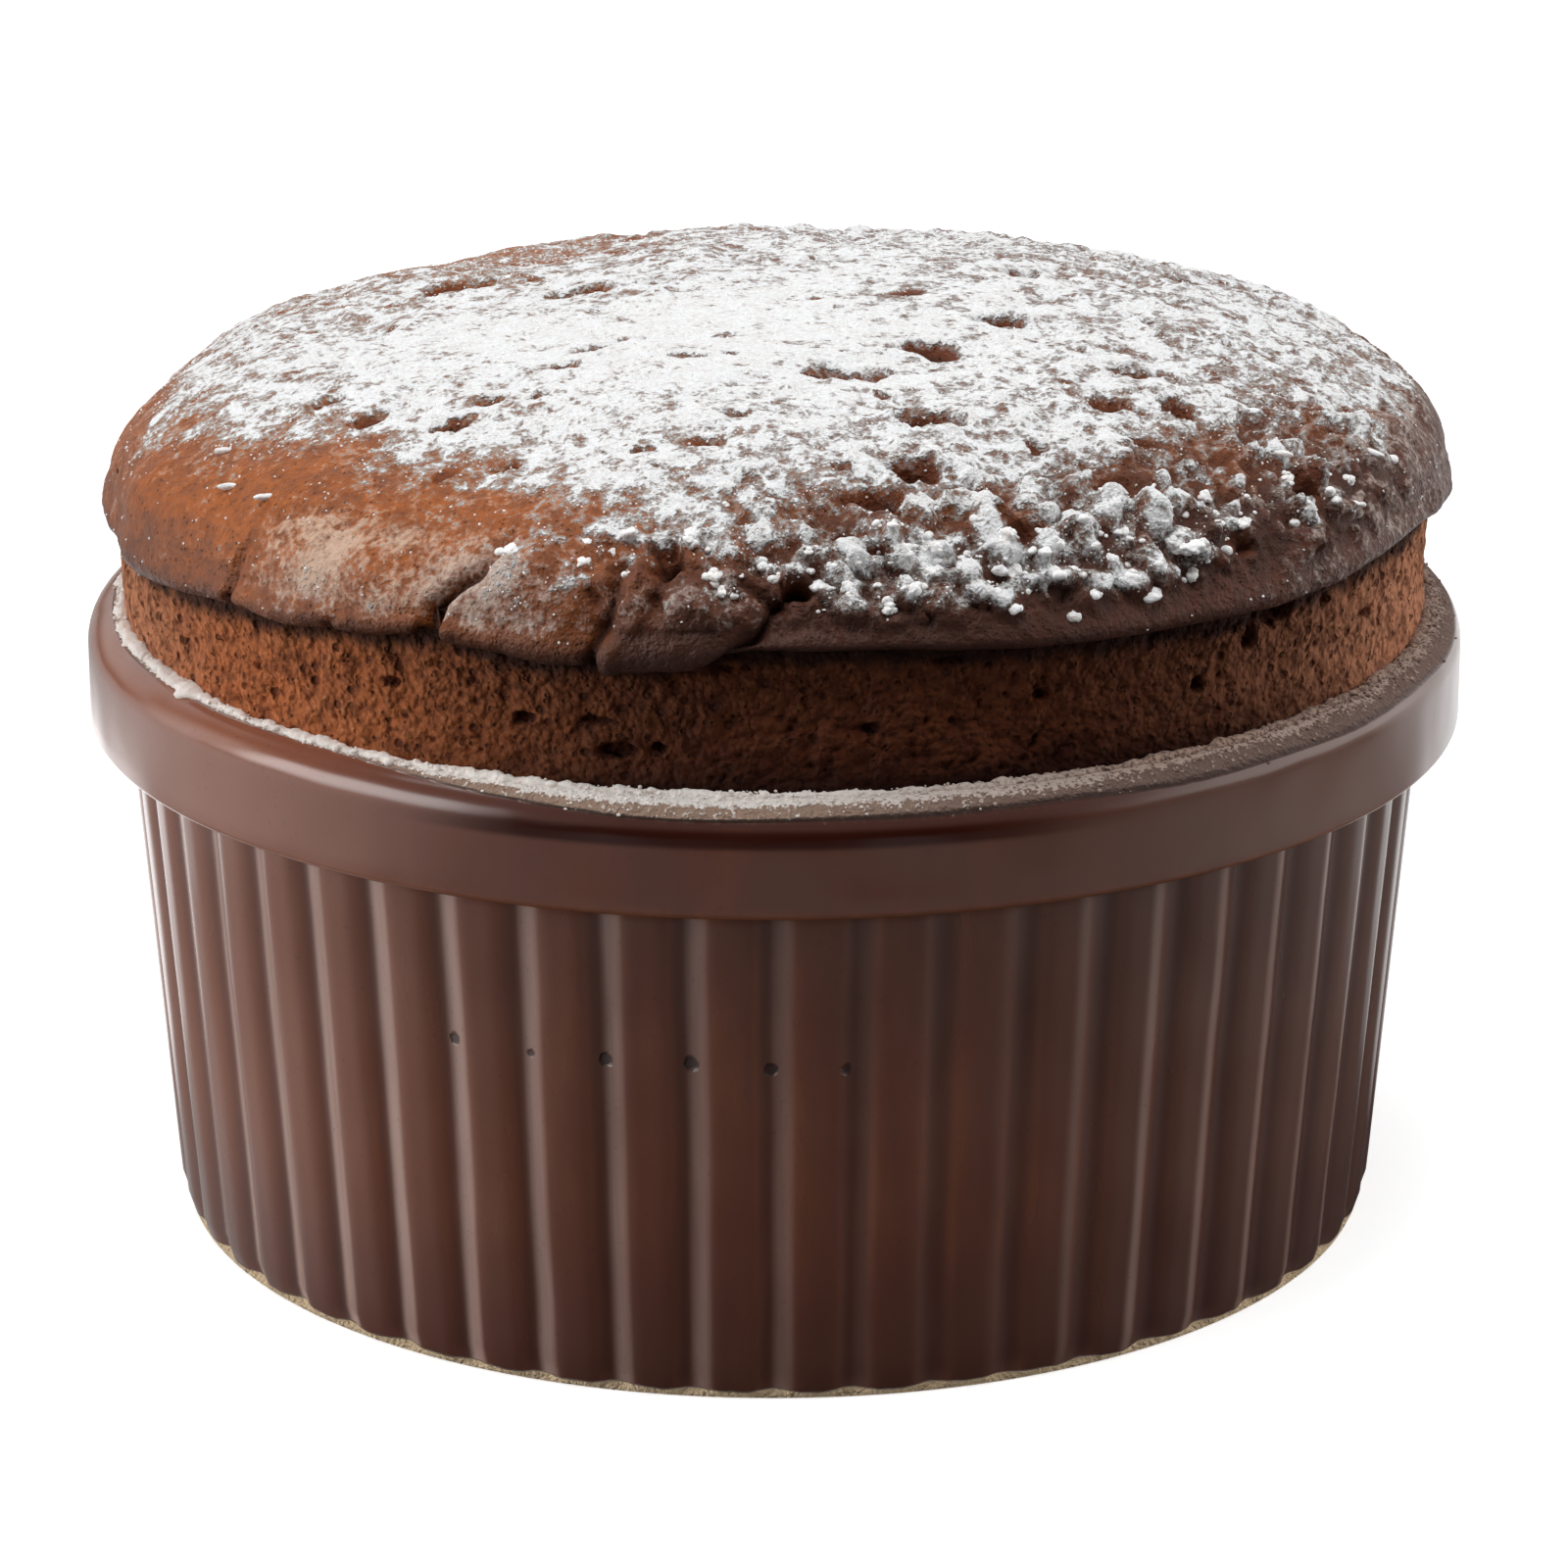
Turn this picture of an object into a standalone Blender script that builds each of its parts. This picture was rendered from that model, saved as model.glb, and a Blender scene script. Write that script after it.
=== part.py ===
"""A chocolate souffle risen above its fluted stoneware ramekin.

Metres, +Z up. The origin is the centre of the foot ring's underside, the front of the crust faces -Y.
Azimuths are measured from the front, growing towards +X.
"""

import math

import bmesh
import bpy

# Ramekin
FOOT_INNER_RADIUS = 0.0395
FOOT_OUTER_RADIUS = 0.0438
FOOT_RECESS = 0.0008
FOOT_CHAMFER = 0.0004
WALL_BASE_RADIUS = 0.0443
WALL_TOP_RADIUS = 0.0472
WALL_TOP = 0.03705
RIB_COUNT = 50
GROOVE_DEPTH = 0.0008
COLLAR_RADIUS = 0.0500
RIM_ROUND = 0.0023
RIM_CENTRE_HEIGHT = 0.0427
RIM_STEPS = 4
BORE_SHOULDER_RADIUS = 0.0436
BORE_SHOULDER_HEIGHT = 0.0360
BORE_BASE_RADIUS = 0.0412
BORE_BASE_HEIGHT = 0.0090
FLOOR_RADIUS = 0.0374
FLOOR_HEIGHT = 0.0046

# Souffle
FIT_GAP = 0.00035
RIM_GAP = 0.0004
COLUMN_RADIUS = 0.0472
COLUMN_START = 105.0
LIP_UNDERCUT = 0.0005
LIP_RADIUS = 0.0487
LIP_HEIGHT = 0.0533
LIP_SIDE_TILT = 0.0011
LIP_FRONT_RISE = 0.0015
LIP_FRONT_HALF_ANGLE = 32.0
LIP_WAVES = ((5, 20.0, 0.00025), (9, -15.0, 0.0002), (13, 40.0, 0.0002))
DOME_RADIUS = 0.0482
DOME_BASE = 0.0539
DOME_RISE = 0.0140
DOME_FLATNESS = 1.82
DOME_SHOULDER = 1.0 / 2.65
DOME_TILT_X = 0.018
DOME_TILT_Y = -0.020
DOME_RINGS = (0.04805, 0.0470, 0.0449, 0.0415, 0.0365, 0.0300, 0.0220, 0.0120)

# Rings of the rounded lip below the dome: radius, and share of the way up from its lower edge to the dome
LIP_RINGS = ((0.0476, 0.0), (0.0483, 0.22), (LIP_RADIUS, 0.6))

# Creases that run from the lip up on to the dome: azimuth in degrees, depth and reach
LIP_CREASES = (
    (-28.0, 0.0016, 0.010),
    (-54.0, 0.0006, 0.005),
    (-7.0, 0.0012, 0.008),
    (70.0, 0.0007, 0.006),
)
CREASE_HALF_ANGLE = 3.5

# Broad swells and hollows in the top of the dome: x, y, radius and depth
DOME_HOLLOWS = (
    (-0.020, 0.006, 0.013, 0.0011),
    (0.016, -0.008, 0.008, 0.0007),
    (0.005, -0.022, 0.006, 0.0008),
    (-0.034, 0.020, 0.011, -0.0006),
)

RAMEKIN_SEGMENTS = 4 * RIB_COUNT
SOUFFLE_SEGMENTS = 112
SMOOTH_ANGLE = math.radians(40.0)


def clear_scene():
    for item in list(bpy.data.objects):
        bpy.data.objects.remove(item, do_unlink=True)


def make_material(name, colour, roughness):
    material = bpy.data.materials.new(name)
    material.use_nodes = True
    shader = material.node_tree.nodes["Principled BSDF"]
    shader.inputs["Base Color"].default_value = (*colour, 1.0)
    shader.inputs["Roughness"].default_value = roughness
    shader.inputs["Metallic"].default_value = 0.0
    return material


def turn(name, segments, rings, bottom, top, material):
    """Close rings of points, listed from the bottom pole to the top pole, into one body.

    Each ring is a function that takes an azimuth in radians and gives a radius and a height.
    """
    bm = bmesh.new()
    azimuths = [math.tau * step / segments for step in range(segments)]
    loops = []
    for ring in rings:
        loop = []
        for azimuth in azimuths:
            radius, height = ring(azimuth)
            loop.append(bm.verts.new((radius * math.sin(azimuth), -radius * math.cos(azimuth), height)))
        loops.append(loop)
    bottom_pole = bm.verts.new((0.0, 0.0, bottom))
    top_pole = bm.verts.new((0.0, 0.0, top))
    for step in range(segments):
        after = (step + 1) % segments
        bm.faces.new((bottom_pole, loops[0][after], loops[0][step]))
        bm.faces.new((top_pole, loops[-1][step], loops[-1][after]))
        for lower, upper in zip(loops, loops[1:]):
            bm.faces.new((lower[step], lower[after], upper[after], upper[step]))
    mesh = bpy.data.meshes.new(name)
    bm.to_mesh(mesh)
    bm.free()
    mesh.materials.append(material)
    mesh.shade_smooth()
    mesh.set_sharp_from_angle(angle=SMOOTH_ANGLE)
    body = bpy.data.objects.new(name, mesh)
    bpy.context.scene.collection.objects.link(body)
    return body


def plain_ring(radius, height):
    return lambda azimuth: (radius, height)


def fluted_ring(radius, height):
    """A ring of convex ribs between narrow grooves, with a groove at the front."""

    def ring(azimuth):
        across = abs(math.sin(0.5 * RIB_COUNT * azimuth))
        return radius - GROOVE_DEPTH * (1.0 - across) ** 2, height

    return ring


def rim_arc(radius, start, end, steps):
    """Points about the centre of the rim's round section, as radius and height, degrees up from the outside."""
    centre = COLLAR_RADIUS - RIM_ROUND
    for step in range(steps + 1):
        angle = math.radians(start + (end - start) * step / steps)
        yield centre + radius * math.cos(angle), RIM_CENTRE_HEIGHT + radius * math.sin(angle)


def make_ramekin():
    rings = [
        plain_ring(FOOT_INNER_RADIUS - FOOT_RECESS, FOOT_RECESS),
        plain_ring(FOOT_INNER_RADIUS, 0.0),
        plain_ring(FOOT_OUTER_RADIUS, 0.0),
        fluted_ring(WALL_BASE_RADIUS, FOOT_CHAMFER),
        fluted_ring(WALL_TOP_RADIUS, WALL_TOP),
        plain_ring(COLLAR_RADIUS, WALL_TOP),
    ]
    rings += [plain_ring(radius, height) for radius, height in rim_arc(RIM_ROUND, 0.0, 180.0, RIM_STEPS)]
    rings += [
        plain_ring(BORE_SHOULDER_RADIUS, BORE_SHOULDER_HEIGHT),
        plain_ring(BORE_BASE_RADIUS, BORE_BASE_HEIGHT),
        plain_ring(FLOOR_RADIUS, FLOOR_HEIGHT),
    ]
    glaze = make_material("brown_glaze", (0.085, 0.036, 0.026), 0.25)
    return turn("ramekin", RAMEKIN_SEGMENTS, rings, FOOT_RECESS, FLOOR_HEIGHT, glaze)


def angle_between(azimuth, degrees):
    """How far an azimuth in radians is from one in degrees, in degrees from -180 to 180."""
    return (math.degrees(azimuth) - degrees + 180.0) % 360.0 - 180.0


def lip_height(azimuth):
    """The crust's lower edge: a gentle tilt, a rise at the front, slow waves and a notch at each crease."""
    across = angle_between(azimuth, 0.0) / LIP_FRONT_HALF_ANGLE
    height = LIP_HEIGHT + LIP_SIDE_TILT * math.sin(azimuth) + LIP_FRONT_RISE * math.exp(-across * across)
    for count, phase, size in LIP_WAVES:
        height += size * math.cos(count * (azimuth - math.radians(phase)))
    return height + crease(azimuth, 0.0)


def crease(azimuth, reach):
    """Depth of the creases at a distance inwards from the lip."""
    depth = 0.0
    for degrees, size, length in LIP_CREASES:
        across = angle_between(azimuth, degrees) / CREASE_HALF_ANGLE
        fade = max(0.0, 1.0 - reach / length)
        depth += size * fade * math.exp(-across * across)
    return depth


def dome_height(x, y):
    radius = math.hypot(x, y)
    fullness = 1.0 - min(radius / DOME_RADIUS, 1.0) ** DOME_FLATNESS
    height = DOME_BASE + DOME_RISE * fullness**DOME_SHOULDER + DOME_TILT_X * x + DOME_TILT_Y * y
    for centre_x, centre_y, size, depth in DOME_HOLLOWS:
        away = math.hypot(x - centre_x, y - centre_y) / size
        height -= depth * math.exp(-away * away)
    return height


def lip_ring(radius, share):
    """A ring of the lip, a share of the way up to the dome and pinched in at the creases."""

    def ring(azimuth):
        edge = lip_height(azimuth)
        dome = dome_ring(DOME_RINGS[0])(azimuth)[1]
        return radius - crease(azimuth, 0.0), edge + share * (dome - edge)

    return ring


def undercut_ring(radius):
    """Where the crumb column meets the crust, tucked up behind the lip."""
    return lambda azimuth: (radius, lip_height(azimuth) + LIP_UNDERCUT)


def dome_ring(radius):
    def ring(azimuth):
        pinched = radius - 0.5 * crease(azimuth, LIP_RADIUS - radius)
        height = dome_height(pinched * math.sin(azimuth), -pinched * math.cos(azimuth))
        return pinched, height - crease(azimuth, LIP_RADIUS - radius)

    return ring


def make_souffle():
    rim_inside = RIM_ROUND + RIM_GAP
    column_middle = 0.5 * (RIM_CENTRE_HEIGHT + rim_inside + LIP_HEIGHT)
    rings = [
        plain_ring(FLOOR_RADIUS - FIT_GAP, FLOOR_HEIGHT + FIT_GAP),
        plain_ring(BORE_BASE_RADIUS - FIT_GAP, BORE_BASE_HEIGHT + FIT_GAP),
        plain_ring(BORE_SHOULDER_RADIUS - FIT_GAP, BORE_SHOULDER_HEIGHT),
    ]
    rings += [plain_ring(radius, height) for radius, height in rim_arc(rim_inside, 180.0, COLUMN_START, 2)]
    rings += [plain_ring(COLUMN_RADIUS, column_middle), undercut_ring(COLUMN_RADIUS)]
    rings += [lip_ring(radius, share) for radius, share in LIP_RINGS]
    rings += [dome_ring(radius) for radius in DOME_RINGS]
    crust = make_material("chocolate_crust", (0.110, 0.042, 0.020), 0.7)
    return turn("souffle", SOUFFLE_SEGMENTS, rings, FLOOR_HEIGHT + FIT_GAP, dome_height(0.0, 0.0), crust)


def main():
    clear_scene()
    make_ramekin()
    make_souffle()


main()
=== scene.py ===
"""The looks of a chocolate souffle in its fluted ramekin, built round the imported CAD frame.

Shapes are worked out in millimetres and written to the meshes in metres. The row frame has +Z up and
the front at -Y. Azimuths are in degrees from the front, growing towards +X. A place on the crust is
given by its arc length from the crown, in millimetres, and its azimuth. An angle on the rim goes up
round its section, from 0 on the outside over 90 on top to 180 on the inside.
"""

import math

import bmesh
import bpy
import numpy as np
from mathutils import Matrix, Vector


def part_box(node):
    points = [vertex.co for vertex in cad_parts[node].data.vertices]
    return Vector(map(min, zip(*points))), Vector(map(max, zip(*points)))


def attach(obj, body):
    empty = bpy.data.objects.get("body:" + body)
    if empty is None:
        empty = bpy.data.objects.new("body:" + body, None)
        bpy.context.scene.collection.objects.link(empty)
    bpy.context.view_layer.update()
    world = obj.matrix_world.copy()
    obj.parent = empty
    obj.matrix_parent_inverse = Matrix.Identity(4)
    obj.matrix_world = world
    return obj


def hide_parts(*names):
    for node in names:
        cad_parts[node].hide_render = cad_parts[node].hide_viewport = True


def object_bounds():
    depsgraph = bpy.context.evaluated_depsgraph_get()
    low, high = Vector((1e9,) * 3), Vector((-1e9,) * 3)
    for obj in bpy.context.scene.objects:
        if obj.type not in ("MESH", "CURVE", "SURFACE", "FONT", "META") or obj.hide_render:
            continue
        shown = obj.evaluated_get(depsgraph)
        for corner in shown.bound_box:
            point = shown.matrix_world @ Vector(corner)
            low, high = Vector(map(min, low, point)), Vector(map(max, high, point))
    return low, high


bl_info = {
    "name": "Chocolate souffle in a fluted ramekin",
    "version": (1, 0, 0),
    "blender": (4, 5, 0),
    "location": "View3D > Sidebar > Souffle",
    "description": "Builds the souffle, its dish, its sugar and a soft studio round the CAD frame",
    "category": "Object",
}

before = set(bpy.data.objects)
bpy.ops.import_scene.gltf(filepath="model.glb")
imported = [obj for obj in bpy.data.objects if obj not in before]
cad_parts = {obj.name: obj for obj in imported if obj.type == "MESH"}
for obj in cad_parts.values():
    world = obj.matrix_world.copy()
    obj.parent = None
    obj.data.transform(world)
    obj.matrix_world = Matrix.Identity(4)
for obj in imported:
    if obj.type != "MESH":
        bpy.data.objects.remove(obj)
CAD_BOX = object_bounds()
DISH_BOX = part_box("ramekin")
SOUFFLE_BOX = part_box("souffle")

MM = 0.001
BODY = "root"

# Ramekin, in millimetres
COLLAR_RADIUS = DISH_BOX[1].x / MM
RIM_ROUND = 2.3
RIM_TOP = DISH_BOX[1].z / MM
RIM_CENTRE_RADIUS = COLLAR_RADIUS - RIM_ROUND
RIM_CENTRE_HEIGHT = RIM_TOP - RIM_ROUND
WALL_TOP = 37.05
WALL_TOP_RADIUS = 47.2
WALL_BASE_RADIUS = 44.3
FOOT_OUTER_RADIUS = 43.8
FOOT_INNER_RADIUS = 39.5
FOOT_RECESS = 0.8
FOOT_CHAMFER = 0.4
COLLAR_FILLET = 0.45
# Inside of the bore, top to bottom: radius and height
BORE = (
    (43.6, 36.0), (43.0, 29.0), (42.4, 22.0), (41.8, 15.0), (41.2, 9.0), (40.4, 6.6), (38.8, 5.1),
    (37.0, 4.6),
)
DISH_SEGMENTS = 900
GROOVE_SHARPNESS = 2.2
# Pinholes in the glaze: azimuth, height and radius
PINHOLES = (
    (-28.2, 25.2, 0.55), (-26.9, 23.8, 0.28), (-20.9, 25.1, 0.42), (-14.3, 25.2, 0.60),
    (-6.9, 25.3, 0.65), (-0.2, 25.0, 0.58), (5.9, 25.0, 0.60), (-33.5, 30.2, 0.2), (-12.0, 21.4, 0.2),
)

# Crumb column, in millimetres
CRUMB_RADIUS = 47.12
CRUMB_TOP = 56.2
CRUMB_GAP = 0.12
CRUMB_SEGMENTS = 1200
CRUMB_RINGS = 56
CRUMB_BASE = ((37.0, 4.95), (40.85, 9.35), (43.2, 36.0))

# Crust, in millimetres
DOME_RADIUS = 48.2
DOME_EDGE = 48.05
DOME_BASE = 53.9
DOME_RISE = 14.0
DOME_FLATNESS = 1.82
DOME_SHOULDER = 1.0 / 2.65
DOME_TILT_X = 0.018
DOME_TILT_Y = -0.020
DOME_HOLLOWS = (
    (-20.0, 6.0, 13.0, 1.1),
    (16.0, -8.0, 8.0, 0.7),
    (5.0, -22.0, 6.0, 0.8),
    (-34.0, 20.0, 11.0, -0.6),
)
CROWN_HEIGHT = SOUFFLE_BOX[1].z / MM
CROWN_MARGIN = 0.3
LIP_ARC = 4.2
LIP_SWELL = 0.70
LIP_TUCK = 0.40
CRUST_RINGS = 171
STRAY_GRAINS = 0.10
# Underside of the crust: radius and height over the lower edge, and the height of its pole
CRUST_UNDER = ((46.9, 0.35), (45.6, 1.3))
CRUST_UNDER_POLE = 56.9

# The crust's lower edge: azimuth and height
LIP_STATIONS = (
    (-180, 53.0), (-125, 52.4), (-84, 51.6), (-73, 51.4), (-65, 52.0), (-54, 52.6), (-50, 53.1),
    (-44, 52.9), (-38, 53.8), (-34, 53.4), (-28.5, 55.0), (-25, 54.2), (-19, 53.6), (-14, 54.0),
    (-11, 53.9), (-6, 54.5), (-1, 55.2), (8, 55.0), (15, 54.7), (30, 54.1), (45, 53.9), (60, 54.1),
    (70, 54.1), (84, 53.5), (125, 53.2),
)
LIP_BLUR = 1.6

# Where the dusting of sugar ends on the way down: azimuth, arc length and how gradual the end is
SUGAR_STATIONS = (
    (-180, 48.0, 3.0), (-135, 48.0, 4.0), (-110, 49.0, 6.0), (-90, 48.5, 7.5), (-75, 46.5, 8.5),
    (-60, 42.5, 7.0), (-50, 39.5, 6.0), (-40, 40.6, 6.5), (-28, 41.6, 6.5), (-20, 42.2, 5.5),
    (-12, 45.0, 4.5), (-5, 47.0, 3.5), (3, 49.5, 2.0), (15, 50.8, 1.6), (30, 51.0, 1.6),
    (45, 50.0, 2.0), (60, 48.5, 2.5), (75, 47.0, 3.0), (90, 46.0, 3.0), (135, 47.0, 3.0),
)

# Holes in the crust: arc length, azimuth, length, width, turn of the length from +X, and depth
PITS = (
    (25.2, -115, 5.2, 3.2, 20, 2.2), (15.1, -109, 5.2, 1.8, 8, 1.1), (31.8, -160, 4.2, 3.0, 0, 1.6),
    (35.8, -61, 2.8, 2.0, 10, 1.3), (34.3, -40, 3.4, 1.7, 12, 1.2), (21.1, 14, 6.0, 2.2, -4, 0.8),
    (18.3, 36, 4.4, 2.4, -14, 1.3), (18.1, 67, 3.4, 2.8, 0, 2.1), (19.2, 110, 2.8, 2.2, 0, 1.4),
    (9.9, 86, 2.4, 1.0, 20, 0.7), (31.6, 108, 3.0, 1.5, 0, 1.0), (30.7, 56, 4.2, 1.4, -10, 0.7),
    (31.3, 20, 4.4, 2.2, -6, 2.4), (34.3, 43, 3.0, 2.0, 0, 1.6), (36.5, 49.5, 3.0, 2.4, 0, 1.9),
    (38.0, 15, 4.2, 2.1, -5, 2.3), (41.6, 10, 4.4, 1.6, 8, 1.9), (26.1, 17, 1.6, 1.2, 0, 0.8),
    (34.3, -8, 3.4, 1.1, 10, 0.9), (35.4, -14, 2.2, 1.2, 0, 0.8), (38.1, -28, 2.6, 1.0, 20, 0.7),
    (40.2, -34, 2.8, 0.9, 15, 0.6), (30.4, -41, 2.0, 1.4, 0, 0.9), (28.6, -35, 1.8, 1.2, 0, 0.8),
    (18.4, -20, 2.6, 1.0, 0, 0.7), (23.1, -40, 3.2, 1.1, -30, 0.7), (17.8, -41, 6.0, 0.9, 32, 0.6),
    (36.3, -51, 3.2, 1.3, 12, 0.8), (29.7, -5, 2.6, 0.9, 0, 0.6), (37.5, 7, 1.8, 1.2, 0, 0.8),
    (37.5, 29, 1.8, 1.2, 0, 0.8), (39.0, 40, 2.0, 1.2, 0, 0.9), (47.4, 53, 3.0, 1.8, 20, 1.4),
    (49.9, 42, 2.4, 1.6, 0, 1.1), (46.3, 8.5, 1.8, 1.2, 0, 0.9), (47.1, -8.6, 1.9, 2.4, -20, 2.2),
    (49.4, 1.7, 2.6, 1.3, 0, 2.2), (39.9, -121, 3.0, 1.6, 30, 0.9), (13.0, -14, 1.6, 1.1, 0, 0.7),
    (44.8, 6, 2.4, 1.1, 0, 0.8), (43.0, 33, 3.0, 1.4, 30, 1.0), (45.5, 22, 2.2, 1.4, 0, 1.0),
)

PIT_BREADTH = 1.30
PIT_DEPTH = 0.85
LOBE_ROUND = 1.5

# Swells of the crust: arc length, azimuth, length, width, turn and height
SWELLS = (
    (44.4, 10, 4.4, 3.0, 10, 1.3), (48.3, -10.4, 2.8, 2.2, -10, 0.8), (50.8, -33.0, 9.0, 4.6, -58, 0.45),
    (51.0, -19.5, 11.0, 6.0, -70, 0.45), (51.6, -6.6, 9.5, 6.5, 8, 0.85), (46.6, 3.0, 2.4, 2.2, 0, 0.7),
    (53.7, -12.7, 2.4, 2.4, 0, 0.55), (50.2, -11.4, 2.4, 3.4, 20, 0.4), (47.0, -19.0, 3.6, 2.4, 40, 0.35),
    (46.5, 27, 2.8, 2.0, 20, 0.8), (45.7, 34, 2.8, 2.0, 20, 0.8), (48.0, 39, 2.6, 1.8, 20, 0.8),
    (46.5, 54, 3.0, 2.2, 30, 0.9), (43.6, 20, 2.6, 1.8, 0, 0.7), (42.0, 28, 2.8, 1.8, 10, 0.6),
)

# Cracks and folds: points as arc length and azimuth, half width at the start and end, depth at the
# start and end, and how far the lobe on the left and on the right of the line bulges over it
CREASES = (
    (((56.2, -28.8), (53.7, -28.0), (50.8, -27.2), (49.8, -26.0), (48.7, -24.0), (47.4, -23.2),
      (45.2, -22.6)), 0.75, 0.30, 2.2, 0.2, 0.40, 0.65),
    (((56.2, -50.6), (54.0, -50.3), (51.5, -49.6), (48.7, -48.2)), 0.5, 0.3, 0.9, 0.1, 0.20, 0.25),
    (((56.2, -37.8), (54.2, -38.0), (52.6, -36.6)), 0.4, 0.3, 0.6, 0.1, 0.10, 0.15),
    (((56.2, -14.4), (53.6, -14.1), (51.9, -13.2), (50.2, -12.4), (48.7, -12.4), (47.0, -12.2)),
     0.45, 0.35, 1.2, 0.5, 0.10, 0.45),
    (((49.6, -8.9), (48.4, -8.6), (47.0, -9.2), (46.0, -10.0)), 0.45, 0.4, 0.5, 1.0, 0.10, 0.10),
    (((56.2, -9.8), (55.2, -6.0), (54.0, -3.4), (52.3, -1.2), (50.4, 0.1), (49.2, 1.4)),
     0.40, 0.40, 1.2, 1.3, 0.55, 0.0),
    (((49.4, -5.4), (47.2, -5.8), (45.2, -6.4)), 0.35, 0.3, 0.30, 0.30, 0.30, 0.10),
)

SEED = 7


# Numbers and shapes ------------------------------------------------------------------------


def smooth(value, low, high):
    """0 below low, 1 above high and an even curve between."""
    share = np.clip((value - low) / (high - low), 0.0, 1.0)
    return share * share * (3.0 - 2.0 * share)


def span(value, start, full, fading, end):
    """0 outside start and end, 1 from full to fading and even curves between."""
    return smooth(value, start, full) * smooth(value, end, fading)


def beside(value, centre, far, near):
    """1 closer than near to a centre, 0 beyond far."""
    return smooth(np.abs(value - centre), far, near)


def bell(value):
    return np.exp(-value * value)


HASH_PRIMES = (73856093, 19349663, 83492791, 2654435761)
HASH_MASK = 0x7FFFFFFF


def hashed(cell, seed):
    """Repeatable numbers from 0 to 1 for whole-numbered cells."""
    mixed = cell[..., 0] * HASH_PRIMES[0] ^ cell[..., 1] * HASH_PRIMES[1]
    mixed = mixed ^ cell[..., 2] * HASH_PRIMES[2] ^ (seed * HASH_PRIMES[3])
    mixed = (mixed ^ (mixed >> 13)) & HASH_MASK
    mixed = (mixed * 1274126177) & HASH_MASK
    mixed = mixed ^ (mixed >> 15)
    mixed = (mixed * 668265263) & HASH_MASK
    mixed = mixed ^ (mixed >> 14)
    return (mixed & 0xFFFFF) / float(0x100000)


def turned(points, seed):
    """The points in a frame of another direction, which hides the grid that a noise is made on."""
    a = 0.7 + 1.3 * seed
    b = 0.4 + 0.9 * seed
    spin = np.array(((math.cos(a), -math.sin(a), 0.0), (math.sin(a), math.cos(a), 0.0), (0.0, 0.0, 1.0)))
    tip = np.array(((1.0, 0.0, 0.0), (0.0, math.cos(b), -math.sin(b)), (0.0, math.sin(b), math.cos(b))))
    return points @ (spin @ tip)


def grain(points, size, seed):
    """Smooth noise from -1 to 1 whose swells are about a size across, in millimetres."""
    place = turned(points, seed) / size + 100.0
    cell = np.floor(place).astype(np.int64)
    share = place - cell
    share = share * share * share * (share * (share * 6.0 - 15.0) + 10.0)
    total = 0.0
    for corner in np.ndindex(2, 2, 2):
        weight = np.prod(np.where(np.array(corner) == 1, share, 1.0 - share), axis=-1)
        total = total + weight * hashed(cell + np.array(corner), seed)
    return 2.0 * total - 1.0


def cells(points, size, seed):
    """Distance to the nearest of scattered centres, in cells, and that centre's own number from 0 to 1."""
    place = turned(points, seed) / size + 100.0
    cell = np.floor(place).astype(np.int64)
    nearest = np.full(len(points), 9.0)
    owner = np.zeros(len(points))
    for offset in np.ndindex(3, 3, 3):
        other = cell + np.array(offset) - 1
        jitter = np.stack([hashed(other, seed + axis) for axis in (11, 23, 37)], axis=-1)
        away = np.linalg.norm(other + jitter - place, axis=-1)
        closer = away < nearest
        owner = np.where(closer, hashed(other, seed + 51), owner)
        nearest = np.where(closer, away, nearest)
    return nearest, owner


def flat_cells(flat, size, seed):
    """The same for places in a plane."""
    return cells(np.column_stack([flat, np.zeros(len(flat))]), size, seed)


def round_blend(stations, azimuth, column=1, blur=LIP_BLUR):
    """A value given at some azimuths, blended evenly all the way round."""
    knots = [station[0] for station in stations]
    values = [station[column] for station in stations]
    total = 0.0
    shifts = (-1.5, -0.75, 0.0, 0.75, 1.5)
    for shift in shifts:
        total = total + np.interp(azimuth + shift * blur, knots, values, period=360.0)
    return total / len(shifts)


def all_round(count):
    """Even azimuths all the way round."""
    return np.arange(count) * 360.0 / count


def wrapped(azimuth):
    """The same azimuths between -180 and 180."""
    return (azimuth + 180.0) % 360.0 - 180.0


def around(radius, azimuth, height):
    """Points from radii, azimuths in degrees and heights."""
    angle = np.radians(azimuth)
    return np.stack([radius * np.sin(angle), -radius * np.cos(angle), height + 0.0 * angle], axis=-1)


def flattened(arc, azimuth):
    """Crust places spread out flat round the crown."""
    angle = np.radians(azimuth)
    return np.stack([arc * np.sin(angle), -arc * np.cos(angle)], axis=-1)


def spun(points, angle):
    """Points turned about the vertical, by radians."""
    x, y, z = np.moveaxis(points, -1, 0)
    cos, sin = np.cos(angle), np.sin(angle)
    return np.stack([x * cos - y * sin, x * sin + y * cos, z], axis=-1)


def rim_section(reach, angle):
    """Radius and height at a distance from the middle of the rim's section, and at an angle."""
    angle = np.radians(angle)
    return RIM_CENTRE_RADIUS + reach * np.cos(angle), RIM_CENTRE_HEIGHT + reach * np.sin(angle)


def vertex_normals(points, triangles):
    corners = points[triangles]
    face = np.cross(corners[:, 1] - corners[:, 0], corners[:, 2] - corners[:, 0])
    normals = np.zeros_like(points)
    for corner in range(3):
        for axis in range(3):
            normals[:, axis] += np.bincount(triangles[:, corner], face[:, axis], len(points))
    return normals / (np.linalg.norm(normals, axis=1, keepdims=True) + 1e-12)


def ring_triangles(start_a, start_b, count):
    """Two triangles for each step between two rings, the second ring further along the surface."""
    step = np.arange(count)
    after = (step + 1) % count
    first = np.stack([start_a + step, start_a + after, start_b + after], axis=1)
    second = np.stack([start_a + step, start_b + after, start_b + step], axis=1)
    return np.concatenate([first, second])


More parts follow.
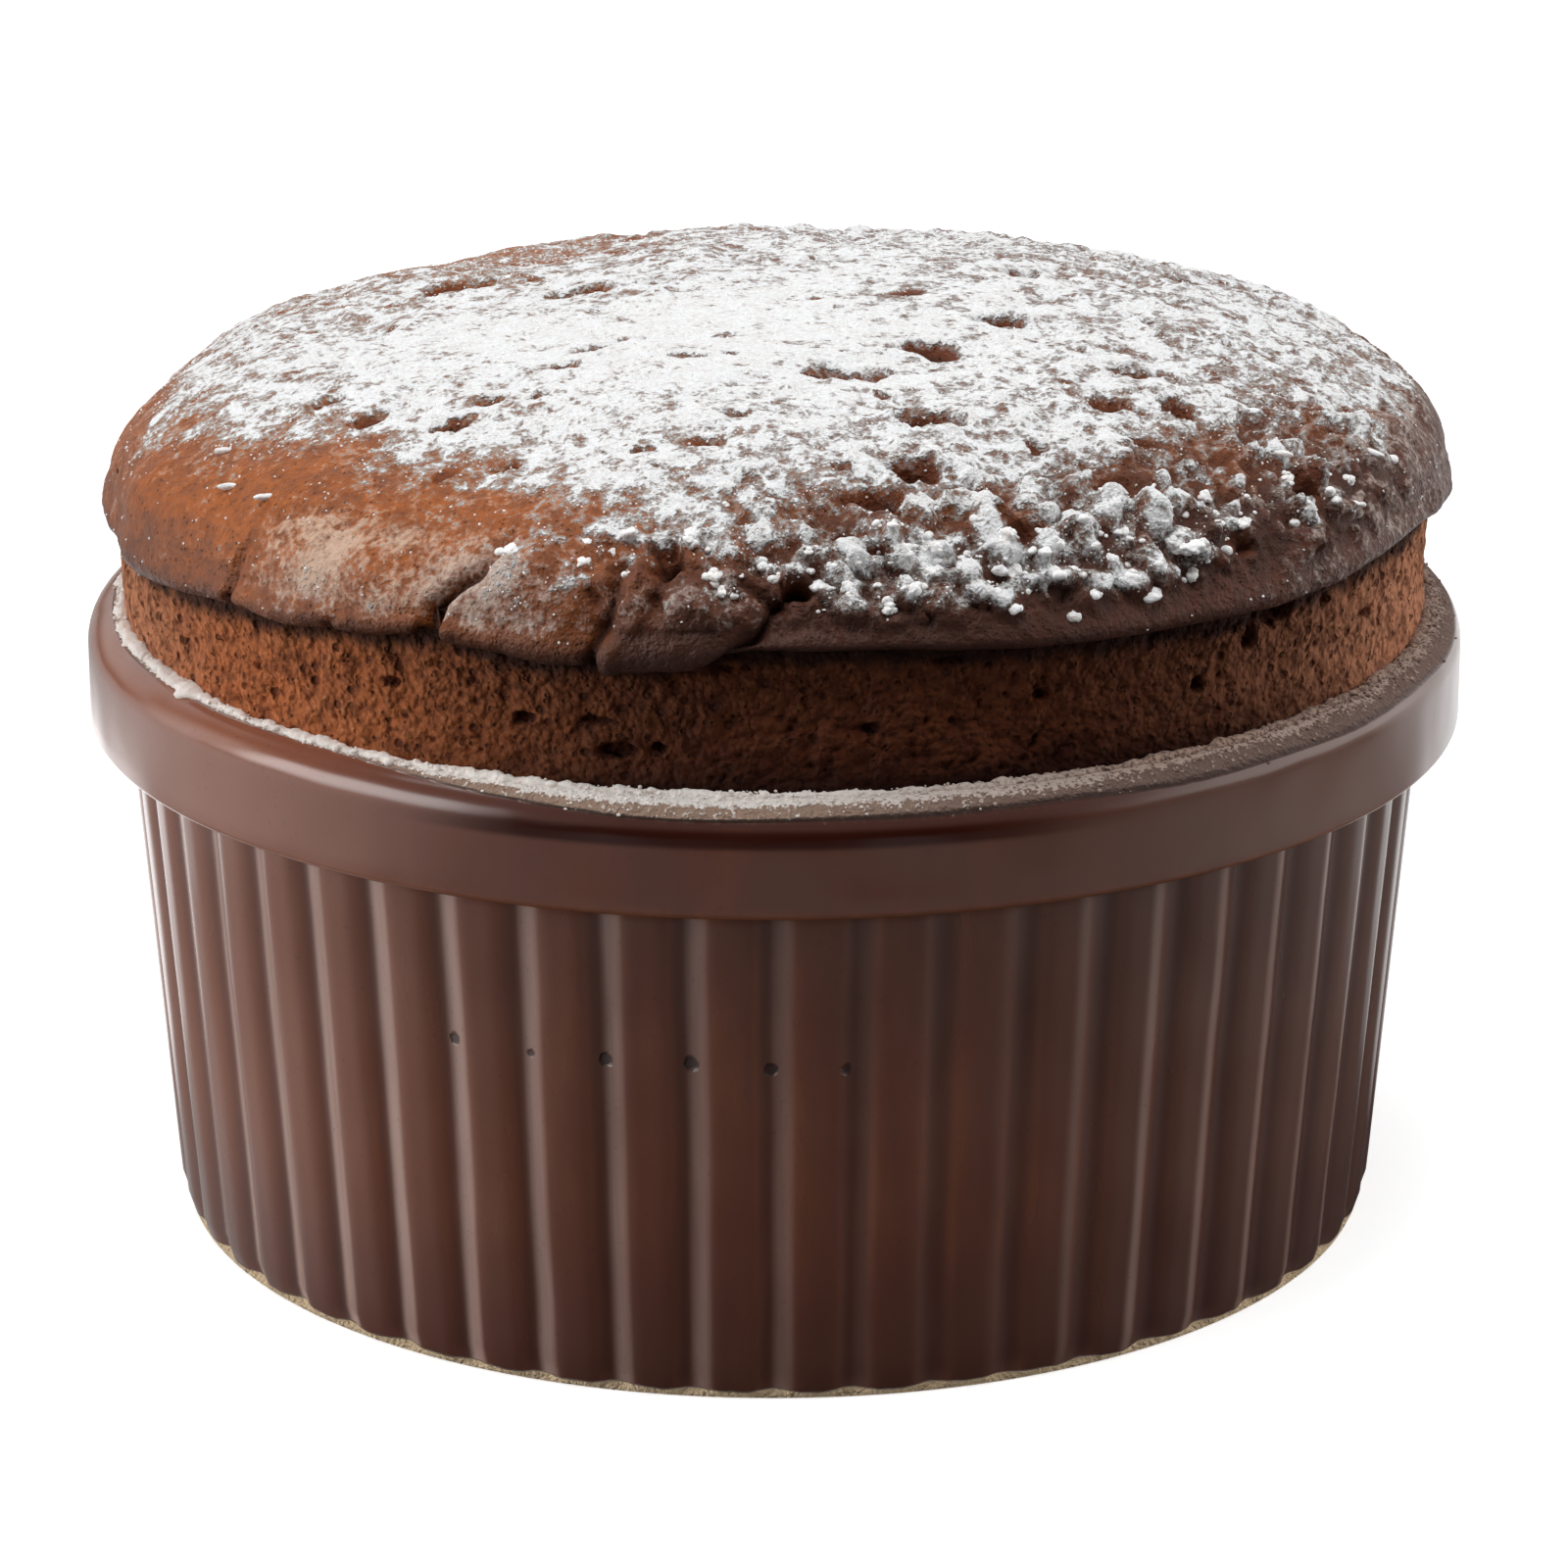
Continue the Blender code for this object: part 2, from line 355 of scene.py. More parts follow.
def fan_triangles(start, count, pole, outward):
    """Triangles from a ring to a pole; outward keeps the ring's own direction."""
    step = np.arange(count)
    after = (step + 1) % count
    first, last = (step, after) if outward else (after, step)
    return np.stack([start + first, start + last, np.full(count, pole)], axis=1)


def turned_triangles(rings, count):
    """Triangles of stacked rings and of the two poles that follow them, the lower pole first."""
    poles = rings * count
    faces = [ring_triangles(k * count, (k + 1) * count, count) for k in range(rings - 1)]
    faces.append(fan_triangles(0, count, poles, outward=False))
    faces.append(fan_triangles(poles - count, count, poles + 1, outward=True))
    return np.concatenate(faces)


def make_mesh(name, points, triangles, attributes=None):
    """A smooth mesh in metres from points in millimetres, with numbers kept for each point."""
    mesh = bpy.data.meshes.new(name)
    mesh.vertices.add(len(points))
    mesh.vertices.foreach_set("co", (np.asarray(points, float) * MM).ravel())
    mesh.loops.add(3 * len(triangles))
    mesh.loops.foreach_set("vertex_index", np.asarray(triangles, np.int32).ravel())
    mesh.polygons.add(len(triangles))
    mesh.polygons.foreach_set("loop_start", np.arange(0, 3 * len(triangles), 3, dtype=np.int32))
    mesh.update(calc_edges=True)
    for key, values in (attributes or {}).items():
        layer = mesh.attributes.new(key, "FLOAT", "POINT")
        layer.data.foreach_set("value", np.asarray(values, np.float32))
    mesh.validate()
    mesh.shade_smooth()
    return mesh


def make_object(name, mesh, material=None):
    piece = bpy.data.objects.new(name, mesh)
    bpy.context.scene.collection.objects.link(piece)
    if material is not None:
        mesh.materials.clear()
        mesh.materials.append(material)
    return piece


def finish_piece(piece, slot, *nodes):
    """Ties a finished piece to its body and hides the CAD nodes that it stands for; slot is not used."""
    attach(piece, BODY)
    if nodes:
        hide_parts(*nodes)


# Node trees --------------------------------------------------------------------------------


def socket_of(sockets, key):
    if isinstance(key, int):
        return sockets[key]
    for socket in sockets:
        if socket.identifier == key:
            return socket
    return sockets[key]


def maths(operation):
    """A method of Wire that adds a maths node of one kind."""

    def method(self, *others):
        inputs = dict(enumerate((self, *others)))
        return self.graph.add("ShaderNodeMath", {"operation": operation}, inputs)

    return method


class Wire:
    """A node socket that takes part in Python expressions; each operator adds its node."""

    __add__ = maths("ADD")
    __radd__ = maths("ADD")
    __sub__ = maths("SUBTRACT")
    __mul__ = maths("MULTIPLY")
    __truediv__ = maths("DIVIDE")
    __pow__ = maths("POWER")
    most = maths("MAXIMUM")
    sine = maths("SINE")
    turn_from = maths("ARCTAN2")

    def __init__(self, graph, socket):
        self.graph = graph
        self.socket = socket

    def __rsub__(self, other):
        return self.graph.add("ShaderNodeMath", {"operation": "SUBTRACT"}, {0: other, 1: self})

    def rise(self, low, high):
        """0 below low, 1 above high, smooth between; low may be the larger."""
        inputs = {"Value": self, "From Min": low, "From Max": high}
        return self.graph.add("ShaderNodeMapRange", {"interpolation_type": "SMOOTHSTEP"}, inputs)


class Graph:
    """A node tree that is being put together."""

    def __init__(self, tree):
        self.tree = tree

    def add(self, kind, settings=None, inputs=None, output=0):
        """Adds a node, sets it, fills its sockets with values or links and gives one output."""
        node = self.tree.nodes.new(kind)
        for key, value in (settings or {}).items():
            setattr(node, key, value)
        for key, value in (inputs or {}).items():
            socket = socket_of(node.inputs, key)
            if isinstance(value, Wire):
                self.tree.links.new(value.socket, socket)
            else:
                socket.default_value = value
        if len(node.outputs) == 0:
            return node
        return Wire(self, socket_of(node.outputs, output))

    def blend(self, share, first, second):
        """A colour between two others."""
        first, second = (c if isinstance(c, Wire) else (*c, 1.0) for c in (first, second))
        inputs = {"Factor_Float": share, "A_Color": first, "B_Color": second}
        return self.add("ShaderNodeMix", {"data_type": "RGBA"}, inputs, "Result_Color")

    def layered(self, colour, *layers):
        """A colour under layers, each given by its share and its tint, the lowest first."""
        for share, tint in layers:
            colour = self.blend(share, colour, tint)
        return colour

    def noise(self, place, scale, detail=2.0, roughness=0.5):
        inputs = {"Vector": place, "Scale": scale, "Detail": detail, "Roughness": roughness}
        return self.add("ShaderNodeTexNoise", None, inputs, "Fac")

    def spots(self, place, scale):
        """Distance to the nearest of scattered centres."""
        return self.add("ShaderNodeTexVoronoi", None, {"Vector": place, "Scale": scale}, "Distance")

    def vector(self, operation, inputs, output="Vector"):
        return self.add("ShaderNodeVectorMath", {"operation": operation}, inputs, output)

    def stretched(self, place, factors):
        return self.vector("MULTIPLY", {0: place, 1: factors})

    def parts(self, place):
        """The three coordinates of a place."""
        return [self.add("ShaderNodeSeparateXYZ", None, {"Vector": place}, axis) for axis in "XYZ"]

    def held(self, name):
        """A number that the mesh keeps for each point."""
        return self.add("ShaderNodeAttribute", {"attribute_name": name}, None, "Fac")

    def bump(self, height, distance, under=None):
        inputs = {"Height": height, "Distance": distance, "Strength": 1.0}
        if under is not None:
            inputs["Normal"] = under
        return self.add("ShaderNodeBump", None, inputs, "Normal")

    def read(self, name):
        """A number of the geometry's points, for a geometry tree."""
        settings = {"data_type": "FLOAT"}
        return self.add("GeometryNodeInputNamedAttribute", settings, {"Name": name}, "Attribute")

    def store(self, geometry, name, value):
        """The geometry with a number kept for each point."""
        settings = {"data_type": "FLOAT", "domain": "POINT"}
        inputs = {"Geometry": geometry, "Name": name, "Value": value}
        return self.add("GeometryNodeStoreNamedAttribute", settings, inputs)


def new_material(name):
    """An empty material and its graph."""
    material = bpy.data.materials.new(name)
    material.use_nodes = True
    material.node_tree.nodes.clear()
    return material, Graph(material.node_tree)


def object_place(graph):
    return graph.add("ShaderNodeTexCoord", None, None, "Object")


def close_material(graph, inputs):
    """Ends a material in one Principled shader."""
    shader = graph.add("ShaderNodeBsdfPrincipled", None, inputs, "BSDF")
    graph.add("ShaderNodeOutputMaterial", None, {"Surface": shader})


def new_geometry(name, inputs):
    """A geometry tree with inputs of a name, a socket type and a default, its graph and its wires."""
    group = bpy.data.node_groups.new(name, "GeometryNodeTree")
    group.interface.new_socket("Geometry", in_out="INPUT", socket_type="NodeSocketGeometry")
    group.interface.new_socket("Geometry", in_out="OUTPUT", socket_type="NodeSocketGeometry")
    for label, kind, default in inputs:
        socket = group.interface.new_socket(label, in_out="INPUT", socket_type=kind)
        if default is not None:
            socket.default_value = default
    graph = Graph(group)
    source = group.nodes.new("NodeGroupInput")
    wires = {socket.name: Wire(graph, socket) for socket in source.outputs if socket.name}
    return group, graph, wires


def close_geometry(graph, geometry, material):
    """Ends a geometry tree in real meshes of one material."""
    real = graph.add("GeometryNodeRealizeInstances", None, {"Geometry": geometry})
    painted = graph.add("GeometryNodeSetMaterial", None, {"Geometry": real, "Material": material})
    graph.add("NodeGroupOutput", None, {"Geometry": painted})


def grown(name, source, group, values, material):
    """The plain mesh object that a geometry tree makes of a source object, with named values."""
    modifier = source.modifiers.new(name, "NODES")
    modifier.node_group = group
    for item in group.interface.items_tree:
        if item.item_type == "SOCKET" and item.in_out == "INPUT" and item.name in values:
            modifier[item.identifier] = values[item.name]
    graph = bpy.context.evaluated_depsgraph_get()
    mesh = bpy.data.meshes.new_from_object(source.evaluated_get(graph), depsgraph=graph)
    source.modifiers.remove(modifier)
    mesh.name = name
    mesh.shade_smooth()
    return make_object(name, mesh, material)


# Settings ----------------------------------------------------------------------------------


def colour_setting(name, description, default):
    return bpy.props.FloatVectorProperty(
        name=name, description=description, default=default, subtype="COLOR", size=3, min=0.0, max=1.0
    )


def number_setting(name, description, default, **more):
    return bpy.props.FloatProperty(name=name, description=description, default=default, **more)


def length_setting(name, description, default):
    return number_setting(name, description, default, unit="LENGTH", precision=5, min=0.0)


def power_setting(name, description, default):
    return number_setting(name, description, default, unit="POWER", min=0.0)


def count_setting(name, description, default):
    return bpy.props.IntProperty(name=name, description=description, default=default, min=0)


def group_setting(name, description, kind):
    return bpy.props.PointerProperty(name=name, description=description, type=kind)


class DishSettings(bpy.types.PropertyGroup):
    """Sizes and colours of the ramekin."""

    flute_count: count_setting("Flutes", "Grooves round the wall", 50)
    flute_depth: length_setting("Flute depth", "Depth of a groove between two ribs", 0.00060)
    flute_waver: number_setting("Flute waver", "How far the grooves wander", 0.006, unit="ROTATION")
    glaze: colour_setting("Glaze", "Brown glaze where it lies thick", (0.158, 0.055, 0.034))
    glaze_break: colour_setting("Glaze on edges", "Glaze where it runs thin", (0.330, 0.110, 0.050))
    # Also the colour of painted shade low on the wall and on the front of the rim and collar
    glaze_pool_and_shade: colour_setting("Glaze in grooves", "Glaze where it pools", (0.085, 0.033, 0.027))
    clay: colour_setting("Clay", "Unglazed clay of the foot", (0.880, 0.660, 0.420))


class CrumbSettings(bpy.types.PropertyGroup):
    """Sizes and colours of the crumb below the crust."""

    crumb: colour_setting("Crumb", "Open crumb", (0.490, 0.145, 0.046))
    # Painted shade: the colour put in the crumb's pores, crevices and hollows
    crumb_painted_shade: colour_setting("Crumb in pores", "Moist crumb deep in a pore", (0.100, 0.024, 0.010))
    unevenness: length_setting("Unevenness", "How far the crumb bulges and sinks", 0.00035)


class CrustSettings(bpy.types.PropertyGroup):
    """Sizes and colours of the baked crust."""

    light: colour_setting("Light crust", "Thin crust on the left", (0.375, 0.102, 0.019))
    dark: colour_setting("Dark crust", "Well baked crust on the right", (0.094, 0.038, 0.026))
    torn: colour_setting("Torn crust", "Inside of a hole or a crack", (0.180, 0.052, 0.022))
    bloom: colour_setting("Bloom", "Thin film of sugar on the crust", (0.620, 0.520, 0.460))
    unevenness: length_setting("Unevenness", "How far the top rises and sinks", 0.00045)
    knobs: length_setting("Knobs", "Height of the knobs at the front edge", 0.00120)


class SugarSettings(bpy.types.PropertyGroup):
    """Sizes, numbers and colour of the sugar."""

    sugar: colour_setting("Sugar", "Icing sugar", (0.905, 0.915, 0.925))
    grain_size: length_setting("Grain size", "Radius of a loose grain", 0.00011)
    grain_density: number_setting("Grain density", "Loose grains in a square metre", 1.5e6, min=0.0)
    clumps: count_setting("Clumps", "Clumps of sugar on the crust", 130)
    rim_clumps: count_setting("Rim clumps", "Clumps along the rim", 640)


class StageSettings(bpy.types.PropertyGroup):
    """The floor, the lights and the camera."""

    floor: colour_setting("Floor", "Pale floor", (0.550, 0.550, 0.550))
    top_power: power_setting("Top light", "Power of the light above", 2.05)
    front_power: power_setting("Front strip", "Power of the strip above the front", 0.80)
    window_level: number_setting("Window", "Brightness of the window", 6.5)
    left_level: number_setting("Left level", "Brightness on the left", 1.9)
    right_level: number_setting("Right level", "Brightness on the right", 1.8)
    back_level: number_setting("Back level", "Brightness behind", 0.90)
    front_level: number_setting("Front level", "Brightness in front", 0.05)
    camera_distance: length_setting("Camera distance", "To the middle of the dish", 0.46603)
    camera_elevation: number_setting(
        "Camera elevation", "Angle above the horizon", math.radians(18.45), subtype="ANGLE"
    )
    camera_lens: number_setting("Lens", "Focal length in millimetres", 144.82)


class SouffleSettings(bpy.types.PropertyGroup):
    """All settings of the souffle."""

    dish: group_setting("Dish", "The ramekin", DishSettings)
    crumb: group_setting("Crumb", "The crumb", CrumbSettings)
    crust: group_setting("Crust", "The crust", CrustSettings)
    sugar: group_setting("Sugar", "The sugar", SugarSettings)
    stage: group_setting("Stage", "The studio", StageSettings)


# Materials ---------------------------------------------------------------------------------


BLACK = (0.0, 0.0, 0.0)
WHITE = (1.0, 1.0, 1.0)

# Painted sheen on the glaze's right side and painted light on its left side
GLAZE_PAINTED_SHEEN_RIGHT = (0.115, 0.064, 0.051)
GLAZE_PAINTED_LIGHT_LEFT = (0.290, 0.105, 0.062)
# Pale colour of the painted highlight streaks along the ribs
GLAZE_PAINTED_HIGHLIGHT = (0.460, 0.300, 0.250)
# Colour of the painted shade under the front of the rim
GLAZE_PAINTED_SHADE_UNDER_RIM = (0.040, 0.005, 0.002)
# Colour of the painted light on the right of the collar
GLAZE_PAINTED_LIGHT_RIGHT_COLLAR = (0.215, 0.115, 0.085)
PINHOLE_TINT = (0.014, 0.009, 0.009)
CLAY_DARK = (0.70, 0.50, 0.30)
CLAY_HEIGHT = 0.00059
CLAY_SOFT = 0.00007
FILM_PALE = (0.370, 0.245, 0.175)
FILM_BROWNED = (0.165, 0.105, 0.085)
RIM_SUGAR_PALE = (1.00, 0.95, 0.90)
RIM_SUGAR_BROWNED = (0.500, 0.375, 0.310)
PINHOLE_REACH = (WALL_BASE_RADIUS + 1.25) * MM


def glaze_material(settings):
    """Glossy brown glaze that breaks lighter over edges, bare clay at the foot, sugar where the mesh asks,
    with painted light (a lighter left side, a greyer sheen on the right, a paler right collar, highlight
    streaks on the ribs, a reflection strip on the left rim) and painted shade (low on the wall, under the rim
    and on the front of the rim and collar).
    """
    material, graph = new_material("ramekin_glaze")
    place = object_place(graph)
    across, along, height = graph.parts(place)
    groove, powder, browned = (graph.held(name) for name in ("groove", "powder", "browned"))
    clouds = graph.noise(graph.stretched(place, (260.0, 260.0, 60.0)), 1.0, 3.0)
    runs = graph.noise(graph.stretched(place, (900.0, 900.0, 45.0)), 1.0, 2.0)
    speckle = graph.noise(place, 2400.0, 2.0)
    fine = graph.noise(place, 3600.0, 2.0)
    coarse = graph.noise(place, 1300.0, 3.0)
    blot = graph.noise(place, 1900.0, 2.0)

    flank = (groove.rise(0.05, 0.4) * groove.rise(0.95, 0.5) * (runs * 1.5 - 0.2)).rise(0.0, 1.0)
    # Painted highlight: pale streaks along the rib flank that faces the side lamps, from the mesh's number
    # shoulder
    highlight_streak = graph.held("shoulder") * (0.45 + across.rise(-0.006, -0.036) * 0.45) * (0.75 + runs * 0.5)
    # Painted shade: a dark band round the front just under the rim
    low, high = ((RIM_CENTRE_HEIGHT + sign * 0.9) * MM for sign in (-1.0, 1.0))
    shade_under_rim = height.rise(low, low + 0.0005) * height.rise(high, high - 0.0005)
    shade_under_rim = shade_under_rim * across.rise(-0.027, -0.016) * across.rise(0.026, 0.012)
    shade_under_rim = shade_under_rim * along.rise(-0.02, -0.03)
    # Painted light: the collar paler on the right
    lit_right_collar = height.rise(WALL_TOP * MM, (WALL_TOP + 1.0) * MM) * across.rise(0.012, 0.044)
    spots = []
    for azimuth, level, size in PINHOLES:
        angle = math.radians(azimuth)
        centre = (PINHOLE_REACH * math.sin(angle), -PINHOLE_REACH * math.cos(angle), level * MM)
        away = graph.vector("DISTANCE", {0: place, 1: centre}, "Value")
        spots.append((away + (blot - 0.5) * 0.0004).rise(1.05 * size * MM, 0.60 * size * MM))
    pinhole = spots[0]
    for spot in spots[1:]:
        pinhole = pinhole.most(spot)
    clay_edge = height + (graph.noise(place, 300.0, 3.0) - 0.5) * 0.0006
    clay = clay_edge.rise(CLAY_HEIGHT + CLAY_SOFT, CLAY_HEIGHT - CLAY_SOFT)
    film = (powder + (coarse - 0.5) * 0.5 + (fine - 0.5) * 0.4).rise(0.05, 0.80) * powder.rise(0.0, 0.2)
    heaped = powder * 0.35 + graph.held("heaped") * 0.80
    dusted = (heaped + (fine - 0.5) * 1.8 + (coarse - 0.5) * 1.4).rise(0.52, 0.88)
    dusted = dusted * powder.rise(0.02, 0.2)

    thickness = ((clouds - 0.5) * 0.8 + 0.20).rise(0.0, 1.0)
    colour = graph.layered(
        graph.blend(thickness, settings.glaze, settings.glaze_break),
        (flank * 0.25, settings.glaze_break),
        # painted sheen on the right of the dish and painted light on its left
        (across.rise(0.006, 0.042) * 0.55, GLAZE_PAINTED_SHEEN_RIGHT),
        (across.rise(-0.006, -0.040) * 0.80, GLAZE_PAINTED_LIGHT_LEFT),
        # painted shade: darker towards the foot
        (height.rise(0.016, 0.002) * 0.52, settings.glaze_pool_and_shade),
        (groove.rise(0.30, 0.95) * 0.45, settings.glaze_pool_and_shade),
        # thin glaze on the collar's lower edge, and a painted reflection strip on the left of the rim's
        # rounding
        ((graph.held("edge") * (runs + 0.5)).rise(0.1, 0.9), settings.glaze_break),
        (highlight_streak.rise(0.0, 1.0), GLAZE_PAINTED_HIGHLIGHT),
        # painted shade on the front of the rim's rounding and of the collar
        (graph.held("painted_front_shade") * 0.9, settings.glaze_pool_and_shade),
        (speckle.rise(0.62, 0.74) * 0.20, settings.glaze_pool_and_shade),
        (shade_under_rim * 0.90, GLAZE_PAINTED_SHADE_UNDER_RIM),
        (lit_right_collar * 0.60, GLAZE_PAINTED_LIGHT_RIGHT_COLLAR),
        (pinhole * 0.80, PINHOLE_TINT),
        (clay, graph.blend(graph.noise(place, 1500.0, 3.0), settings.clay, CLAY_DARK)),
        (film * (0.95 - browned * 0.15), graph.blend(browned, FILM_PALE, FILM_BROWNED)),
        (dusted * 0.92, graph.blend(browned, RIM_SUGAR_PALE, RIM_SUGAR_BROWNED)),
    )
    matte = clay.most(powder.rise(0.15, 0.7))
    gloss = 0.20 + height.rise(0.0378, 0.0362) * 0.06 + (clouds - 0.5) * 0.10 + pinhole * 0.3
    roughness = gloss * (1.0 - matte) + matte * 0.88
    waves = graph.bump(graph.noise(place, 110.0, 1.0), 0.00035)
    pitted = graph.bump(pinhole * -1.0, 0.00012, waves)
    dusty = graph.bump(matte * (fine + coarse * 1.6), 0.00036, pitted)
    close_material(graph, {"Base Color": colour, "Roughness": roughness, "Normal": dusty, "IOR": 1.52})
    return material


CRUMB_RED = (0.420, 0.130, 0.046)
# Painted light on the crumb's right and left sides
CRUMB_PAINTED_LIGHT_RIGHT = (0.560, 0.255, 0.145)
CRUMB_PAINTED_LIGHT_LEFT = (0.640, 0.300, 0.170)
# Painted highlight on the tops of the crumb's granules
CRUMB_PAINTED_HIGHLIGHT = (0.680, 0.255, 0.110)
# Painted shade on the front of the crumb, deepest low down
CRUMB_PAINTED_SHADE_FRONT = (0.028, 0.004, 0.001)
CRUMB_PAINTED_SHADE_LOW = (0.006, 0.001, 0.000)
CRUMB_SHADE = (0.016, 0.005, 0.003)


def crumb_material(settings):
    """Reddish-brown granular sponge with small pores, with painted light on its sides and granule tops,
    painted shade in its pores, crevices and hollows, painted shade at the front that deepens low down, and
    painted shade under the crust.
    """
    material, graph = new_material("souffle_crumb")
    place = object_place(graph)
    across, along, height = graph.parts(place)
    shift = graph.add("ShaderNodeTexNoise", None, {"Vector": place, "Scale": 900.0}, "Color")
    warped = graph.vector("ADD", {0: place, 1: graph.stretched(shift, (0.00022, 0.00022, 0.00022))})
    small = graph.spots(warped, 950.0)
    tiny = graph.spots(warped, 2000.0)
    hole = graph.spots(graph.stretched(place, (1.0, 1.0, 1.25)), 640.0)
    pores = hole.rise(0.30, 0.12).most(graph.spots(place, 1400.0).rise(0.24, 0.10) * 0.8)
    wobble = graph.noise(place, 1100.0, 2.0)
    tone = graph.noise(place, 240.0, 3.0, 0.6)
    # Painted shade: the crumb darker at the front, most of all low down
    front = (along - across * 0.25).rise(-0.026, -0.048)
    lower_down = (height + (tone - 0.5) * 0.006).rise(0.0500, 0.0440)
    colour = graph.layered(
        graph.blend(tone.rise(0.3, 0.7), settings.crumb, CRUMB_RED),
        # painted light on the crumb's right and left sides
        (across.rise(0.012, 0.046) * 0.80, CRUMB_PAINTED_LIGHT_RIGHT),
        (across.rise(-0.036, -0.047) * 0.55, CRUMB_PAINTED_LIGHT_LEFT),
        # painted highlights on the granule tops, and painted shade in the crevices, hollows and pores where
        # the bump sinks
        (small.rise(0.36, 0.10) * 0.45 + tiny.rise(0.34, 0.10) * 0.35, CRUMB_PAINTED_HIGHLIGHT),
        (small.rise(0.50, 0.85) * 0.45, settings.crumb_painted_shade),
        (wobble.rise(0.50, 0.30) * 0.5, settings.crumb_painted_shade),
        (pores * 0.75, settings.crumb_painted_shade),
        (graph.held("pore").rise(0.10, 0.85) * 0.85, settings.crumb_painted_shade),
        (front * (0.83 + lower_down * 0.15), CRUMB_PAINTED_SHADE_FRONT),
        (front * height.rise(0.0475, 0.0448) * 0.55, CRUMB_PAINTED_SHADE_LOW),
        (graph.held("under") * 0.90, CRUMB_SHADE),
    )
    normal = graph.bump(wobble * 0.5 - small * 1.1 - tiny * 0.8 - pores * 0.9, 0.00036)
    close_material(
        graph, {"Base Color": colour, "Roughness": 0.86, "Normal": normal, "Specular IOR Level": 0.12}
    )
    return material


CRUST_MOTTLE = (0.130, 0.040, 0.018)
CRUST_DOTS = (0.085, 0.028, 0.014)
# Colour of the painted shade in the crust's pits, creases, valleys and under the front of the lip
CRUST_PAINTED_SHADE = (0.030, 0.011, 0.007)
# Colour of the painted shade in the crust's pores
CRUST_PORE_SHADE = (0.050, 0.020, 0.014)
BLOOM_LEFT = (0.66, 0.48, 0.36)
SUGAR_SHADE = (0.80, 0.765, 0.745)


def crust_material(crust, sugar):
    """Baked crust, light on the left and dark on the right, with sugar where the mesh asks for it, painted
    shade in pits, creases, pores and under the front of the lip, and a painted sheen on the far right.
    """
    material, graph = new_material("souffle_crust")
    place = object_place(graph)
    cover, darkening, torn, film = (graph.held(name) for name in ("sugar", "darkening", "torn", "film"))
    clouds = graph.noise(place, 170.0, 4.0, 0.6)
    mottle = graph.noise(place, 600.0, 3.0, 0.6)
    fine = graph.noise(place, 2600.0, 3.0, 0.6)
    dots = graph.noise(place, 1250.0, 2.0, 0.6)
    pores = graph.spots(place, 1500.0).rise(0.20, 0.08) * (1.0 - cover).rise(0.2, 0.8)
    # hazy: the film of sugar, which on the far right of the crust also carries a painted sheen
    hazy = (film + (dots - 0.5) * 1.5 + (fine - 0.5) * 1.6 + (mottle - 0.5) * 1.0).rise(0.15, 1.05)
    hazy = hazy * film.rise(0.0, 0.15)
    bloom = graph.blend(darkening.rise(0.0, 0.5), BLOOM_LEFT, crust.bloom)
    speck = cover + (fine - 0.5) * 1.1 + (dots - 0.5) * 1.2 + (mottle - 0.5) * 1.5
    dust = (graph.noise(place, 5200.0, 2.0) + cover * 0.16).rise(0.62, 0.76) * cover.rise(-0.35, 0.15)
    mask = speck.rise(0.28, 0.70).most(dust * 0.70)
    colour = graph.layered(
        graph.blend((darkening + (clouds - 0.5) * 0.7).rise(0.05, 0.95), crust.light, crust.dark),
        (mottle.rise(0.60, 0.38) * 0.40, CRUST_MOTTLE),
        (dots.rise(0.50, 0.34) * 0.35, CRUST_DOTS),
        (torn, crust.torn),
        # painted shade in pits, creases, between the knobs and under the front of the lip
        (graph.held("deep") * 0.85, CRUST_PAINTED_SHADE),
        # painted shade in the crust's pores
        (pores * 0.4, CRUST_PORE_SHADE),
        (hazy * 0.75, bloom),
        (speck.rise(0.05, 0.50) * 0.45, bloom),
        (mask, graph.blend((fine + mottle * 0.6).rise(0.55, 0.95), SUGAR_SHADE, sugar.sugar)),
    )
    satin = 0.46 + (mottle - 0.5) * 0.25 + torn * 0.3 + hazy * 0.2
    roughness = satin * (1.0 - mask) + mask * 0.92
    height = mask * (0.40 + fine * 0.7) + mottle * 0.55 - pores * 0.4 + fine * 0.45 + dots * 0.80
    normal = graph.bump(height, 0.00038)
    close_material(
        graph, {"Base Color": colour, "Roughness": roughness, "Normal": normal, "Specular IOR Level": 0.17}
    )
    return material


def sugar_material():
    """Loose icing sugar: white, matte and slightly grainy."""
    material, graph = new_material("icing_sugar")
    place = object_place(graph)
    fine = graph.noise(place, 4200.0, 3.0, 0.6)
    patch = graph.noise(place, 1200.0, 3.0, 0.6)
    share = (fine * 0.6 + patch * 0.8).rise(0.50, 0.70)
    colour = graph.blend(share, (0.74, 0.66, 0.61), (0.94, 0.94, 0.94))
    close_material(graph, {"Base Color": colour, "Roughness": 0.9, "Normal": graph.bump(fine, 0.00008)})
    return material


def rim_dust_material():
    """Sugar that has browned against the hot rim: grey-brown where the mesh asks, white elsewhere."""
    material, graph = new_material("rim_sugar")
    fine = graph.noise(object_place(graph), 3600.0, 3.0, 0.6)
    share = fine.rise(0.35, 0.6)
    white = graph.blend(share, (0.95, 0.84, 0.77), (1.00, 0.96, 0.91))
    tan = graph.blend(share, (0.125, 0.070, 0.050), (0.42, 0.285, 0.220))
    colour = graph.blend(graph.held("browned"), white, tan)
    close_material(graph, {"Base Color": colour, "Roughness": 0.9, "Normal": graph.bump(fine, 0.00008)})
    return material


# Dish --------------------------------------------------------------------------------------


